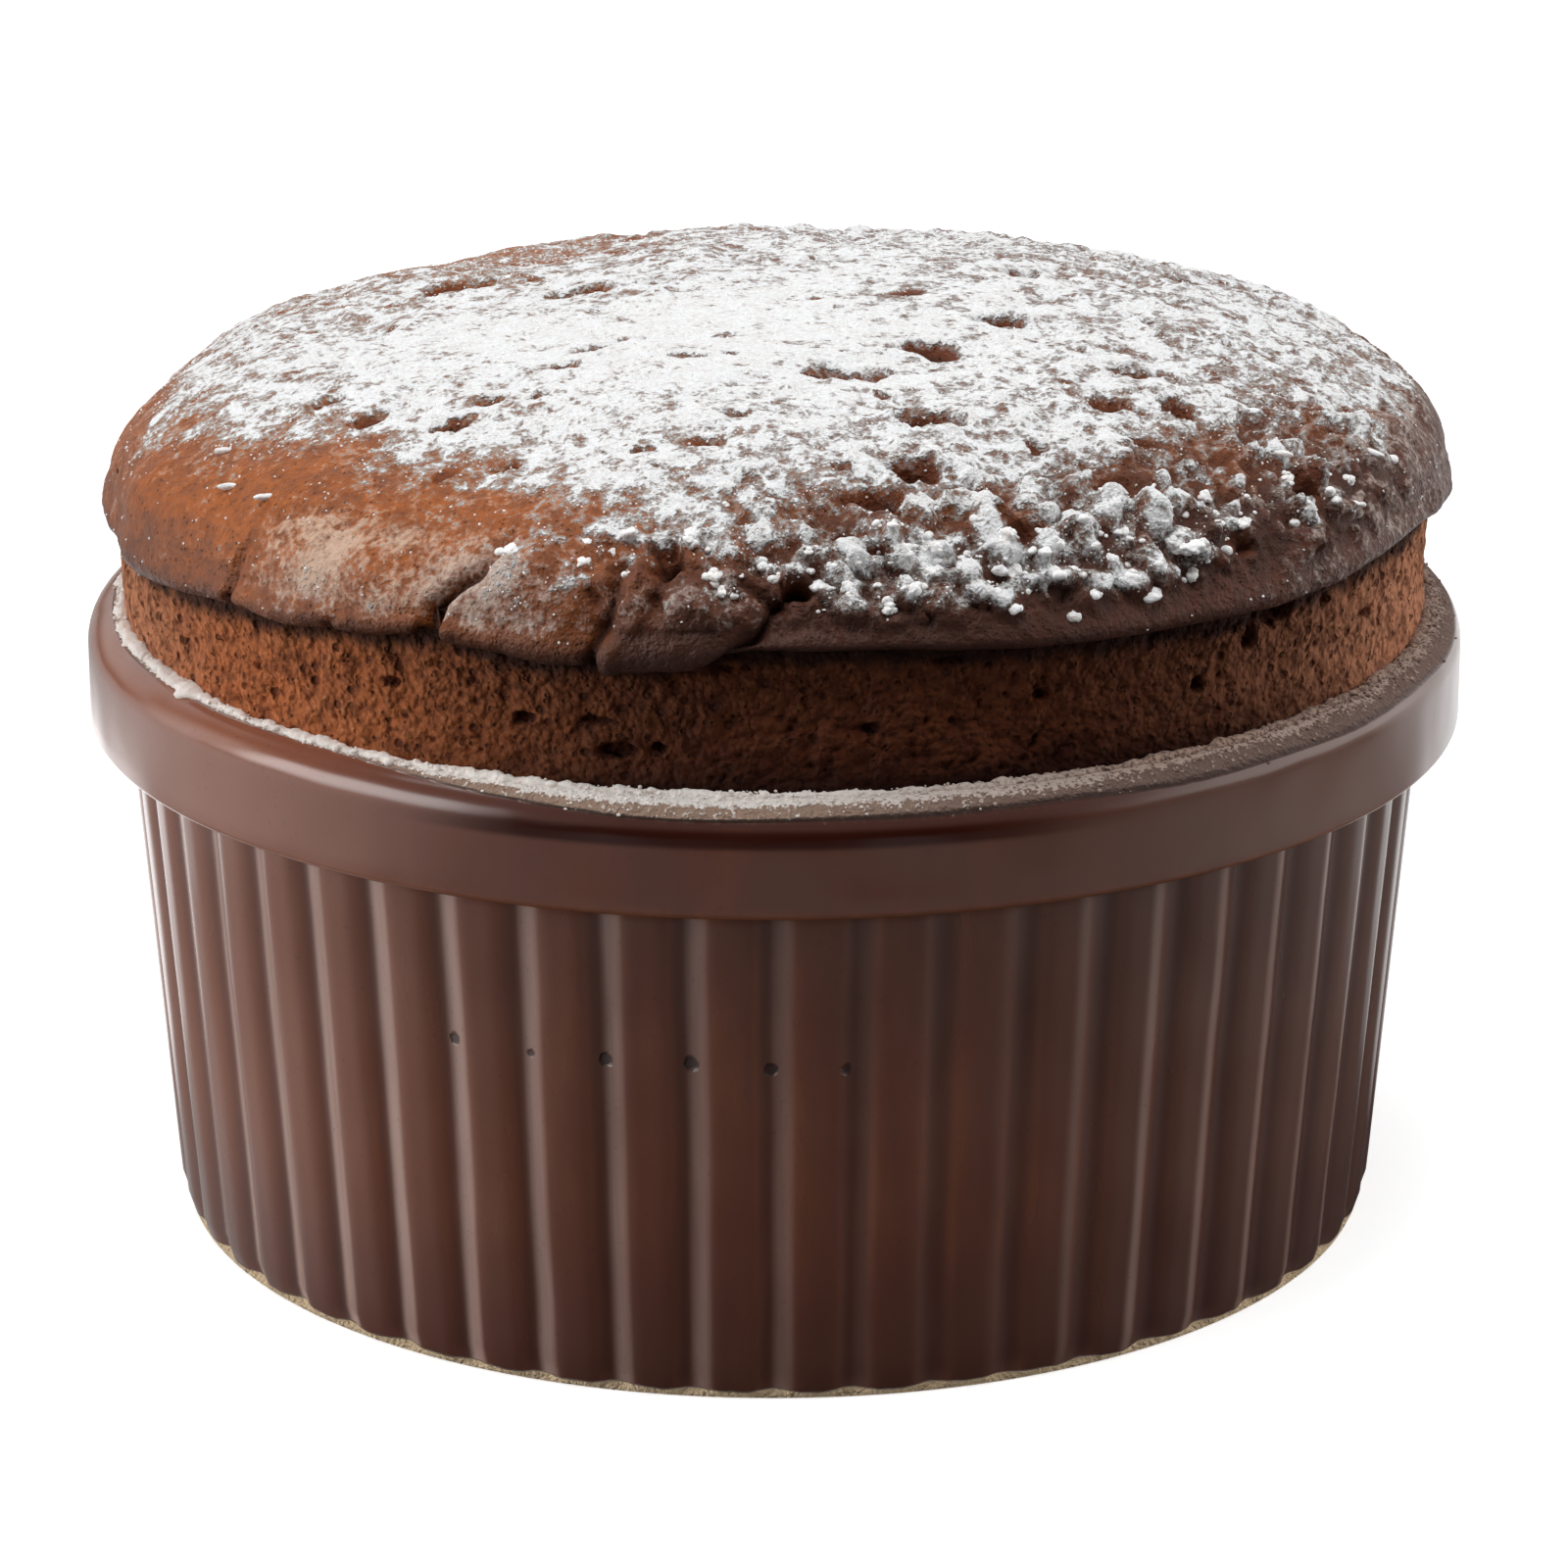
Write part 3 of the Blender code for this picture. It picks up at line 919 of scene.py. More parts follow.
def dish_section():
    """The ramekin's section from the pole of its underside to the pole of its floor.

    Each row has a radius, a height, 1 where the wall is fluted, and the angle on the rim or -1.
    """
    plain = [(20.0, FOOT_RECESS), (36.0, FOOT_RECESS), (FOOT_INNER_RADIUS - FOOT_RECESS, FOOT_RECESS)]
    plain += [(FOOT_INNER_RADIUS - 0.15, 0.12), (FOOT_INNER_RADIUS + 0.2, 0.0), (41.6, 0.0)]
    plain += [(FOOT_OUTER_RADIUS - 0.25, 0.0), (FOOT_OUTER_RADIUS, 0.08)]
    rows = [(*place, 0, -1) for place in plain]
    for height in np.linspace(FOOT_CHAMFER, WALL_TOP, 26):
        share = (height - FOOT_CHAMFER) / (WALL_TOP - FOOT_CHAMFER)
        round_foot = 0.35 * bell((height - FOOT_CHAMFER) / 0.8)
        radius = WALL_BASE_RADIUS + share * (WALL_TOP_RADIUS - WALL_BASE_RADIUS) - round_foot
        rows.append((radius, height, 1, -1))
    rows += [(radius, WALL_TOP + 0.02, 0, -1) for radius in (WALL_TOP_RADIUS + 0.25, 48.6)]
    for angle in np.radians(np.linspace(-90.0, 0.0, 7)):
        radius = COLLAR_RADIUS - COLLAR_FILLET + COLLAR_FILLET * math.cos(angle)
        rows.append((radius, WALL_TOP + COLLAR_FILLET * (1.0 + math.sin(angle)), 0, -1))
    for height in np.linspace(WALL_TOP + COLLAR_FILLET, RIM_CENTRE_HEIGHT, 6)[1:-1]:
        rows.append((COLLAR_RADIUS, height, 0, -1))
    rows += [(*rim_section(RIM_ROUND, angle), 0, angle) for angle in np.linspace(0.0, 180.0, 25)]
    rows += [(*place, 0, -1) for place in (*BORE, (20.0, BORE[-1][1]))]
    return np.array(rows)


# Where the sugar on the rim starts, and how gradual its start is: azimuth and angle
POWDER_START = (
    (-180, 62), (-120, 70), (-95, 78), (-60, 84), (-42, 84), (-33, 76), (-26, 58), (-18, 42), (-8, 36),
    (0, 33), (14, 40), (30, 40), (45, 38), (72, 36), (92, 42), (130, 58),
)
POWDER_SOFT = ((-180, 10), (-60, 6), (-30, 8), (-12, 7), (0, 10), (14, 20), (90, 20))
# Where it starts to lie thick
HEAPED_START = (
    (-180, 66), (-120, 72), (-95, 80), (-60, 86), (-42, 86), (-33, 80), (-26, 72), (-15, 63), (-3, 59),
    (14, 67), (36, 72), (90, 74), (130, 72),
)
HEAPED_SOFT = ((-180, 10), (-60, 6), (-30, 7), (-12, 6), (0, 8), (16, 19), (90, 20))
# How far it has browned: azimuth and share
BROWNED = ((-180, 0.6), (-120, 0.3), (-90, 0.1), (-4, 0.0), (6, 0.25), (14, 0.60), (30, 1.0), (130, 0.9))
RIM_BLUR = 4.0


def past_start(azimuth, angle, starts, softs, wander):
    """0 outside the start of the sugar on the rim, 1 inside it."""
    start = round_blend(starts, azimuth, blur=RIM_BLUR) + wander
    soft = round_blend(softs, azimuth, blur=RIM_BLUR)
    return smooth(angle, start - soft, start + soft)


def powder_on_rim(azimuth, angle):
    """Sugar on the rim, from 0 to 1: a broad band at the front and on the right, a narrow one on the left."""
    wander = 2.0 * np.sin(np.radians(7.0 * azimuth)) + 1.6 * np.sin(np.radians(17.0 * azimuth + 50.0))
    return past_start(azimuth, angle, POWDER_START, POWDER_SOFT, wander) * smooth(angle, 1.0, 16.0)


def heaped_on_rim(azimuth, angle):
    """Where the sugar on the rim lies thick, from 0 to 1: along the rim's inner side."""
    wander = 3.0 * np.sin(np.radians(11.0 * azimuth + 30.0)) + 2.0 * np.sin(np.radians(29.0 * azimuth))
    return past_start(azimuth, angle, HEAPED_START, HEAPED_SOFT, wander)


def browned_on_rim(azimuth):
    return round_blend(BROWNED, azimuth, blur=3.0)


def flute_tree():
    """Presses grooves with ribs between into a turned wall, where the mesh's own number fluted is 1."""
    inputs = (
        ("Count", "NodeSocketInt", 50),
        ("Depth", "NodeSocketFloat", 0.0006),
        ("Waver", "NodeSocketFloat", 0.006),
        ("Material", "NodeSocketMaterial", None),
    )
    group, graph, wires = new_geometry("flutes", inputs)
    place = graph.add("GeometryNodeInputPosition")
    across, along, _ = graph.parts(place)
    fluted = graph.read("fluted")
    wander = graph.noise(graph.stretched(place, (130.0, 130.0, 60.0)), 1.0, 2.0)
    turn = across.turn_from(along * -1.0) + (wander - 0.5) * wires["Waver"] * 2.0
    phase = turn * wires["Count"] + 0.5 * math.pi
    press = (phase.sine() * 0.5 + 0.5) ** GROOVE_SHARPNESS * fluted
    inward = graph.vector("NORMALIZE", {0: graph.stretched(place, (1.0, 1.0, 0.0))})
    offset = graph.vector("SCALE", {0: inward, "Scale": press * wires["Depth"] * -1.0})
    # Painted highlights: the flank by each groove on the left half and the rib's right edge on the right
    # half, kept as shoulder
    left_highlight = (phase - 0.69).sine().rise(0.35, 1.0) * across.rise(0.014, -0.004)
    right_highlight = (phase + 1.90).sine().rise(0.70, 1.0) * across.rise(0.012, 0.026)
    stored = graph.store(wires["Geometry"], "groove", press)
    stored = graph.store(stored, "shoulder", left_highlight.most(right_highlight) * fluted)
    pressed = graph.add("GeometryNodeSetPosition", None, {"Geometry": stored, "Offset": offset})
    close_geometry(graph, pressed, wires["Material"])
    return group


class SOUFFLE_OT_dish(bpy.types.Operator):
    """Builds the fluted ramekin with its rim, foot and glaze"""

    bl_idname = "souffle.dish"
    bl_label = "Build the ramekin"

    def execute(self, context):
        settings = context.scene.souffle.dish
        section = dish_section()
        radius, azimuth = np.meshgrid(section[:, 0], all_round(DISH_SEGMENTS), indexing="ij")
        height, fluted, angle = (
            np.repeat(section[:, k:k + 1], DISH_SEGMENTS, axis=1) for k in (1, 2, 3)
        )
        signed = wrapped(azimuth)
        on_rim = smooth(angle, 2.0, 24.0) * smooth(angle, 88.0, 55.0)
        far_left = beside(signed, -75.0, 60.0, 25.0)
        low_edge = bell((height - WALL_TOP) / 0.45) * (radius > WALL_TOP_RADIUS + 1.0)
        # Painted shade: a dark band on the front of the rim's rounding and a darker front of the collar
        painted_front_shade = on_rim * (1.0 - far_left) * beside(signed, 0.0, 80.0, 40.0)
        collar = smooth(radius, WALL_TOP_RADIUS + 0.5, WALL_TOP_RADIUS + 1.5)
        collar_front_shade = 0.30 * collar * beside(signed, 4.0, 50.0, 25.0) * (angle < 2.0)
        points = around(radius, azimuth, height).reshape(-1, 3)
        points = np.concatenate([points, [(0.0, 0.0, FOOT_RECESS), (0.0, 0.0, BORE[-1][1])]])
        numbers = {
            "fluted": fluted,
            "powder": powder_on_rim(signed, angle),
            "heaped": heaped_on_rim(signed, angle),
            # edge: thin glaze on the collar's lower edge, and on the left of the rim's rounding a painted
            # reflection strip
            "edge": np.maximum(0.35 * on_rim * far_left, low_edge),
            "painted_front_shade": np.maximum(painted_front_shade, collar_front_shade),
            "browned": browned_on_rim(signed),
        }
        numbers = {key: np.append(values.ravel(), (0.0, 0.0)) for key, values in numbers.items()}
        triangles = turned_triangles(len(section), DISH_SEGMENTS)
        turned_wall = make_object("turned_wall", make_mesh("turned_wall", points, triangles, numbers))
        material = glaze_material(settings)
        values = {
            "Count": settings.flute_count,
            "Depth": settings.flute_depth,
            "Waver": settings.flute_waver,
            "Material": material,
        }
        dish = grown("dish", turned_wall, flute_tree(), values, material)
        bpy.data.objects.remove(turned_wall)
        finish_piece(dish, "ramekin_glaze", "ramekin")
        return {"FINISHED"}


# Crumb -------------------------------------------------------------------------------------

# Bigger holes in the crumb: azimuth, height, half length along, half height, depth
CRUMB_HOLES = (
    (-20.6, 49.3, 0.85, 0.5, 1.1), (-9.0, 48.0, 0.7, 0.45, 0.9), (37.0, 49.6, 0.6, 0.7, 1.0),
    (-12.8, 47.6, 1.5, 0.6, 1.0), (-14.0, 49.6, 1.6, 0.3, 0.8), (46.5, 53.2, 1.7, 0.9, 1.1),
    (43.0, 51.9, 0.5, 1.0, 0.9), (-33.0, 50.4, 0.7, 0.4, 0.7), (22.0, 50.8, 0.7, 0.4, 0.7),
    (8.0, 49.4, 0.8, 0.4, 0.8), (-48.0, 49.0, 0.6, 0.4, 0.7), (61.0, 50.2, 0.6, 0.5, 0.7),
    (100.0, 49.5, 0.9, 0.5, 0.9), (140.0, 50.4, 1.2, 0.5, 1.0), (-110.0, 48.6, 0.9, 0.5, 0.9),
    (-150.0, 50.0, 1.0, 0.5, 0.9), (180.0, 48.4, 0.8, 0.5, 0.8), (53.0, 52.6, 0.6, 0.6, 0.8),
    (14.0, 53.9, 1.3, 0.3, 0.7), (-4.0, 53.6, 1.2, 0.3, 0.6),
)
CRUMB_SHOULDER = (44.0, CRUMB_TOP + 0.4)
CRUMB_STRETCH = np.array((1.0, 1.0, 1.25))


def crumb_surface(settings):
    """The crumb's side: its points, how deep each lies in a pore, how near the crust it is, and its rings."""
    reach = RIM_ROUND + CRUMB_GAP
    rows = [(RIM_CENTRE_RADIUS - 2.6, RIM_CENTRE_HEIGHT - 2.0, 0.0)]
    rows += [(*rim_section(reach, angle), 0.0) for angle in np.linspace(180.0, 104.0, 7)]
    start = rows[-1][1] + 0.12
    for height in np.linspace(start, CRUMB_TOP, CRUMB_RINGS):
        rows.append((CRUMB_RADIUS + 0.02 * (height - start), height, 1.0))
    rows = np.array(rows)
    free = smooth(rows[:, 1], start - 0.1, start + 0.9)[:, None] * rows[:, 2:3]
    radius, azimuth = np.meshgrid(rows[:, 0], all_round(CRUMB_SEGMENTS), indexing="ij")
    height = np.repeat(rows[:, 1:2], CRUMB_SEGMENTS, axis=1)
    free = np.repeat(free, CRUMB_SEGMENTS, axis=1)
    points = around(radius, azimuth, height).reshape(-1, 3)
    scale = settings.unevenness / MM
    swell = 0.0
    for share, size, seed in ((0.75, 7.0, 41), (0.6, 2.6, 42), (0.50, 1.1, 43), (0.45, 0.6, 44)):
        swell += scale * share * grain(points, size, seed)
    warped = points + 0.25 * np.stack([grain(points, 0.9, 45 + axis) for axis in range(3)], axis=1)
    near, owner = cells(warped * CRUMB_STRETCH, 1.5, 61)
    pore = smooth(near, 0.16 + 0.20 * owner, 0.05) * (owner > 0.5)
    near_fine, owner_fine = cells(warped, 0.85, 71)
    pore_fine = smooth(near_fine, 0.30, 0.08) * (owner_fine > 0.45)
    depth = 0.38 * pore + 0.26 * pore_fine
    signed = wrapped(azimuth.ravel())
    ragged = 1.0 + 0.45 * grain(points, 0.9, 83)
    for centre, level, half_length, half_height, sink in CRUMB_HOLES:
        along = np.radians(wrapped(signed - centre)) * CRUMB_RADIUS
        away = np.hypot(along / half_length, (points[:, 2] - level) / half_height) * ragged
        depth = np.maximum(depth, sink * smooth(away, 1.25, 0.45))
    amount = (swell - depth) * free.ravel()
    inward = np.minimum(amount, 0.25)
    outward = points.copy()
    outward[:, 2] = 0.0
    outward /= np.linalg.norm(outward, axis=1, keepdims=True)
    points = points + outward * inward[:, None]
    low = round_blend(LIP_STATIONS, signed)
    under = smooth(points[:, 2] + 0.3 * grain(points, 1.2, 84), low - 1.7, low - 0.5)
    return points, np.clip(depth * free.ravel() / 0.7, 0.0, 1.0), under, len(rows)


class SOUFFLE_OT_crumb(bpy.types.Operator):
    """Builds the open crumb between the dish and the crust"""

    bl_idname = "souffle.crumb"
    bl_label = "Build the crumb"

    def execute(self, context):
        settings = context.scene.souffle.crumb
        side, pore, under, side_rings = crumb_surface(settings)
        count = CRUMB_SEGMENTS
        azimuths = all_round(count)
        base = [around(np.full(count, radius), azimuths, height) for radius, height in CRUMB_BASE]
        shoulder = around(np.full(count, CRUMB_SHOULDER[0]), azimuths, CRUMB_SHOULDER[1])
        poles = [(0.0, 0.0, CRUMB_BASE[0][1]), (0.0, 0.0, CRUMB_SHOULDER[1])]
        points = np.concatenate([*base, side, shoulder, poles])
        hidden = np.zeros(len(base) * count)
        numbers = {
            "pore": np.concatenate([hidden, pore, np.zeros(count + 2)]),
            "under": np.concatenate([hidden, under, np.ones(count + 2)]),
        }
        mesh = make_mesh("crumb", points, turned_triangles(len(base) + side_rings + 1, count), numbers)
        crumb = make_object("crumb", mesh, crumb_material(settings))
        finish_piece(crumb, "souffle_crust", "souffle")
        return {"FINISHED"}


# Crust -------------------------------------------------------------------------------------


def dome_height(x, y):
    radius = np.hypot(x, y)
    fullness = 1.0 - np.minimum(radius / DOME_RADIUS, 1.0) ** DOME_FLATNESS
    height = DOME_BASE + DOME_RISE * fullness ** DOME_SHOULDER + DOME_TILT_X * x + DOME_TILT_Y * y
    for centre_x, centre_y, size, depth in DOME_HOLLOWS:
        height = height - depth * bell(np.hypot(x - centre_x, y - centre_y) / size)
    return height


def meridian():
    """Radii along the dome's section and the arc length to each, without the tilt and the hollows."""
    radius = np.concatenate([np.linspace(0.0, 40.0, 400), np.linspace(40.0, DOME_EDGE, 1200)[1:]])
    height = DOME_RISE * (1.0 - (radius / DOME_RADIUS) ** DOME_FLATNESS) ** DOME_SHOULDER
    arc = np.concatenate([[0.0], np.cumsum(np.hypot(np.diff(radius), np.diff(height)))])
    return radius, arc


MERIDIAN_RADIUS, MERIDIAN_ARC = meridian()
DOME_ARC = MERIDIAN_ARC[-1]
CRUST_ARC = DOME_ARC + LIP_ARC


def crust_base(arc, azimuth):
    """The even surface of the crust: the dome, then the rounded lip down to its lower edge."""
    on_lip = np.clip((arc - DOME_ARC) / LIP_ARC, 0.0, 1.0)
    radius = np.interp(arc, MERIDIAN_ARC, MERIDIAN_RADIUS)
    radius = radius - LIP_TUCK * on_lip * on_lip + LIP_SWELL * np.sin(math.pi * on_lip) ** 2
    inner = np.minimum(radius, DOME_EDGE)
    top = around(inner, azimuth, 0.0)
    height = dome_height(top[..., 0], top[..., 1])
    edge = around(np.full_like(radius, DOME_EDGE), azimuth, 0.0)
    edge_height = dome_height(edge[..., 0], edge[..., 1])
    low = round_blend(LIP_STATIONS, azimuth)
    on_edge = edge_height + (low - edge_height) * np.sin(0.5 * math.pi * on_lip)
    return around(radius, azimuth, np.where(on_lip > 0.0, on_edge, height))


def bulge(distance, reach):
    """The rounded edge of a lobe, which fades over a reach from its border."""
    inside = 1.0 - np.clip(distance / LOBE_ROUND, 0.0, 1.0)
    return np.sqrt(np.clip(1.0 - inside * inside, 0.0, 1.0)) * bell(distance / reach)


def ellipse(flat, centre_arc, centre_azimuth, length, width, turn):
    """Distance from the middle of a turned ellipse, 1 at its edge."""
    away = flat - flattened(np.array(centre_arc, float), np.array(centre_azimuth, float))
    angle = math.radians(turn)
    along = away[:, 0] * math.cos(angle) + away[:, 1] * math.sin(angle)
    across = away[:, 1] * math.cos(angle) - away[:, 0] * math.sin(angle)
    return np.hypot(along / (0.5 * length), across / (0.5 * width))


def path_distance(flat, path):
    """Distance to a path, positive on its right, and the share of the way along at the nearest place."""
    knots = [flattened(np.array(arc), np.array(azimuth)) for arc, azimuth in path]
    lengths = [np.linalg.norm(b - a) for a, b in zip(knots, knots[1:])]
    total = sum(lengths)
    best = np.full(len(flat), 1e9)
    signed = np.zeros(len(flat))
    share = np.zeros(len(flat))
    walked = 0.0
    for first, last, length in zip(knots, knots[1:], lengths):
        along = (last - first) / length
        away = flat - first
        step = np.clip(away @ along, 0.0, length)
        offset = away - step[:, None] * along
        distance = np.linalg.norm(offset, axis=1)
        side = np.sign(along[1] * away[:, 0] - along[0] * away[:, 1])
        nearer = distance < best
        best = np.where(nearer, distance, best)
        signed = np.where(nearer, distance * side, signed)
        share = np.where(nearer, (walked + step) / total, share)
        walked += length
    return signed, share


def crust_relief(points, arc, azimuth, settings):
    """Height of the relief over the even surface, with the numbers that the crust's material reads."""
    flat = flattened(arc, azimuth)
    x, y = flat.T

    def noise(size, seed):
        return grain(points, size, seed)

    ragged = np.stack([noise(1.6, 91 + axis) for axis in range(2)], axis=1)
    wavy = np.stack([noise(5.0, 95 + axis) for axis in range(2)], axis=1)
    warped = flat + 0.32 * ragged + 0.45 * wavy
    left = smooth(x, 5.0, -30.0)
    front_right = span(azimuth, -14.0, 6.0, 58.0, 76.0)
    knobby = front_right * span(arc, 36.0, 43.0, 50.6, 53.0)
    calm = 1.0 - 0.55 * left * smooth(arc, 30.0, 42.0)
    even = 1.0 - 0.6 * front_right * smooth(arc, 50.5, 52.5)
    scale = settings.unevenness / MM
    relief = scale * (0.95 * noise(11.0, 1) + 0.50 * noise(5.0, 2))
    relief += scale * calm * even * (0.34 * noise(2.4, 3) + 0.20 * noise(1.2, 4))
    relief += scale * (calm * even * 0.16 + 0.35 * knobby) * noise(0.65, 5)

    near, owner = flat_cells(warped, 2.3, 13)
    knob = np.maximum(0.0, 1.0 - (near / (0.42 + 0.32 * owner)) ** 2) * (owner > 0.25)
    near_small, owner_small = flat_cells(warped, 1.35, 17)
    knob_small = np.maximum(0.0, 1.0 - (near_small / (0.38 + 0.3 * owner_small)) ** 2)
    lumps = knob * (0.6 + 0.4 * owner) + 0.42 * knob_small
    knobs = settings.knobs / MM
    relief += knobs * knobby * (lumps - 0.35)
    sprinkled = span(arc, 20.0, 34.0, 47.0, 50.0) * smooth(x, -14.0, 4.0) * (1.0 - knobby)
    relief += 0.28 * knobs * sprinkled * (lumps - 0.3)

    torn = np.zeros(len(flat))
    # deep: painted shade in pits, creases and between knobs, and under the front of the lip
    deep = np.zeros(len(flat))
    for centre_arc, centre_azimuth, length, width, turn, height in SWELLS:
        away = ellipse(warped, centre_arc, centre_azimuth, length, width, turn)
        relief += height * smooth(away, 1.35, 0.25)
    for centre_arc, centre_azimuth, length, width, turn, depth in PITS:
        away = ellipse(warped, centre_arc, centre_azimuth, length, PIT_BREADTH * width, turn)
        away = away * (1.0 + 0.28 * noise(0.9, 97)) + 0.12 * noise(0.5, 98)
        bowl = np.clip(1.0 - away * away, 0.0, 1.0)
        share = min(1.0, depth / 1.2)
        relief += 0.10 * depth * bell((away - 1.25) / 0.22)
        relief -= PIT_DEPTH * depth * bowl ** 0.7
        torn = np.maximum(torn, share * smooth(away, 1.12, 0.75))
        deep = np.maximum(deep, share * smooth(bowl, 0.15, 0.95))
    near_pit, owner_pit = flat_cells(warped, 3.6, 29)
    small_pit = smooth(near_pit, 0.10 + 0.12 * owner_pit, 0.05) * (owner_pit > 0.45) * smooth(arc, 52.0, 46.0)
    relief -= 0.55 * small_pit * calm
    torn = np.maximum(torn, 0.6 * small_pit * calm)
    for path, wide, narrow, depth_start, depth_end, swell_left, swell_right in CREASES:
        signed, share = path_distance(flat + 0.16 * ragged, path)
        half = wide + share * (narrow - wide)
        depth = depth_start + share * (depth_end - depth_start)
        ends = smooth(share, 1.0, 0.75)
        gap = bell(signed / half)
        relief -= depth * gap
        relief += ends * swell_left * bulge(-signed, 4.0) * (signed < 0.0)
        relief += ends * swell_right * bulge(signed, 4.0) * (signed > 0.0)
        deep = np.maximum(deep, smooth(gap, 0.3, 0.9) * smooth(depth, 0.1, 0.9))

    end = round_blend(SUGAR_STATIONS, azimuth, 1, 4.0)
    soft = round_blend(SUGAR_STATIONS, azimuth, 2, 4.0)
    wander = 1.6 * noise(6.0, 33) + 0.9 * noise(2.4, 34)
    inside = smooth(arc + wander, end + soft, end - soft)
    heart = bell(np.hypot((x + 7.0) / 24.0, (y + 12.0) / 18.0))
    patches = noise(2.6, 36) + 0.7 * noise(1.3, 48)
    edge_zone = 4.0 * inside * (1.0 - inside)
    cover = 0.66 + 0.32 * heart + 0.09 * noise(8.0, 35) + (0.16 - 0.09 * heart) * patches
    cover -= 0.33 * smooth(y, 0.0, 30.0) * smooth(x, 8.0, -18.0)
    cover -= 0.05 * smooth(x, 20.0, 42.0)
    cover = cover * inside - 0.20 * (1.0 - inside) + 0.22 * edge_zone * patches
    cover += knobby * (0.72 * (lumps - 0.42) - 0.28 + 0.30 * noise(0.8, 52))
    for clump_arc, clump_azimuth, size in NAMED_CLUMPS:
        away = ellipse(warped, clump_arc, clump_azimuth, 3.2 * size, 2.6 * size, 0.0)
        cover += 0.22 * bell(away)
    cover += 0.22 * sprinkled * (lumps - 0.4)
    cover -= 0.9 * torn
    cover -= 0.5 * beside(azimuth, 25.0, 70.0, 30.0) * smooth(arc, 50.3, 51.6)
    cover -= 0.35 * deep
    deep = np.maximum(deep, 0.55 * knobby * smooth(lumps, 0.32, 0.05))
    crumpled = beside(azimuth, -8.0, 11.0, 6.0) * span(arc, 43.5, 45.5, 50.0, 52.5)
    folds = grain(points * np.array((1.0, 0.6, 0.6)) + 0.5 * points[:, [1, 2, 0]], 1.2, 21)
    relief += crumpled * (0.55 * (1.0 - 2.0 * np.abs(folds)) + 0.42 * noise(0.7, 22))
    lobes = beside(azimuth, -31.0, 19.5, 9.5) * span(arc, 43.5, 48.0, 51.4, 54.4)
    strewn = beside(azimuth, -14.0, 14.0, 6.0) * span(arc, 44.0, 46.0, 49.5, 52.0)
    folded = beside(azimuth, -7.0, 8.5, 4.5) * span(arc, 47.5, 49.5, 52.2, 54.6)
    film = 0.45 * folded * (0.6 + 0.8 * noise(1.4, 51))
    film += 0.80 * lobes * (0.75 + 0.6 * noise(2.2, 37))
    film += 0.42 * inside * (1.0 - torn) * (1.0 - 0.3 * knobby)
    # The first term here and the band round azimuth 64 below paint a pale sheen on the far right of the
    # crust: painted light, carried in the film
    film += 0.18 * smooth(x, 32.0, 46.0) + 0.25 * lobes * smooth(azimuth, -34.0, -40.0)
    film += 0.22 * bell((azimuth - 64.0) / 24.0) * span(arc, 41.0, 46.0, 52.0, 55.0)
    cover += 0.22 * lobes * (0.5 + noise(1.6, 38))
    cover += 0.50 * strewn * (0.15 + 1.1 * noise(1.5, 46) + 0.8 * noise(0.8, 50))
    crumbly = 1.0 + 0.9 * noise(0.8, 39) + 0.6 * noise(1.5, 40)
    relief += 0.12 * smooth(cover, 0.15, 0.6) * crumbly

    # How dark the crust is: darker towards the right and further down, most along the lip's lower edge, and
    # in a patch near azimuth -18
    darkening = smooth(x + 4.0 * noise(9.0, 47), -30.0, 16.0)
    darkening = darkening * (0.55 + 0.45 * smooth(arc, 44.0, 50.0))
    low_band = smooth(arc, 49.5, 53.5)
    darkening = darkening + low_band * (0.20 + 0.08 * span(azimuth, -30.0, -6.0, 90.0, 120.0))
    darkening = darkening + 0.14 * smooth(arc, 47.0, 52.0) * smooth(azimuth, -46.0, -56.0)
    darkening = darkening + 0.18 * bell((azimuth + 18.0) / 11.0) * span(arc, 40.0, 45.0, 50.0, 53.0)
    darkening = np.clip(darkening + 0.35 * smooth(arc, 52.6, 54.8) + 0.12 * smooth(arc, 45.0, 50.0), 0.0, 1.0)
    # Painted shade along the lip's lower edge at the front, kept in deep
    at_front = beside(azimuth, -6.0, 44.0, 22.0)
    deep = np.maximum(deep, 0.75 * at_front * smooth(arc, 51.6, 54.6))
    deep = np.maximum(deep, 0.50 * at_front * smooth(arc, 49.5, 53.0) * smooth(azimuth, -14.0, -11.0))
    film = np.clip(film - deep, 0.0, 1.0)
    return relief, {"sugar": cover, "torn": torn, "deep": deep, "film": film, "darkening": darkening}


def disc_triangles(rings):
    """Triangles of a disc whose ring k has 6 k points, starting at the pole."""
    faces = []
    for ring in range(1, rings + 1):
        outer = 1 + 3 * ring * (ring - 1)
        inner = 1 + 3 * (ring - 1) * (ring - 2) if ring > 1 else 0
        outer_count = 6 * ring
        inner_count = max(6 * (ring - 1), 1)
        sector = np.repeat(np.arange(6), ring)
        step = np.tile(np.arange(ring), 6)
        a = sector * ring + step
        b = (a + 1) % outer_count
        c = (sector * (ring - 1) + step) % inner_count
        faces.append(np.stack([outer + a, outer + b, inner + c], axis=1))
        keep = step < ring - 1
        d = (c + 1) % inner_count
        faces.append(np.stack([inner + c, outer + b, inner + d], axis=1)[keep])
    return np.concatenate(faces)


def crust_points():
    """Arc length and azimuth of each point of the disc, pole first."""
    ring = np.concatenate([[0]] + [np.full(6 * k, k) for k in range(1, CRUST_RINGS + 1)])
    step = np.concatenate([[0]] + [np.arange(6 * k) for k in range(1, CRUST_RINGS + 1)])
    arc = CRUST_ARC * ring / CRUST_RINGS
    azimuth = 360.0 * step / np.maximum(6 * ring, 1)
    return arc, wrapped(azimuth)


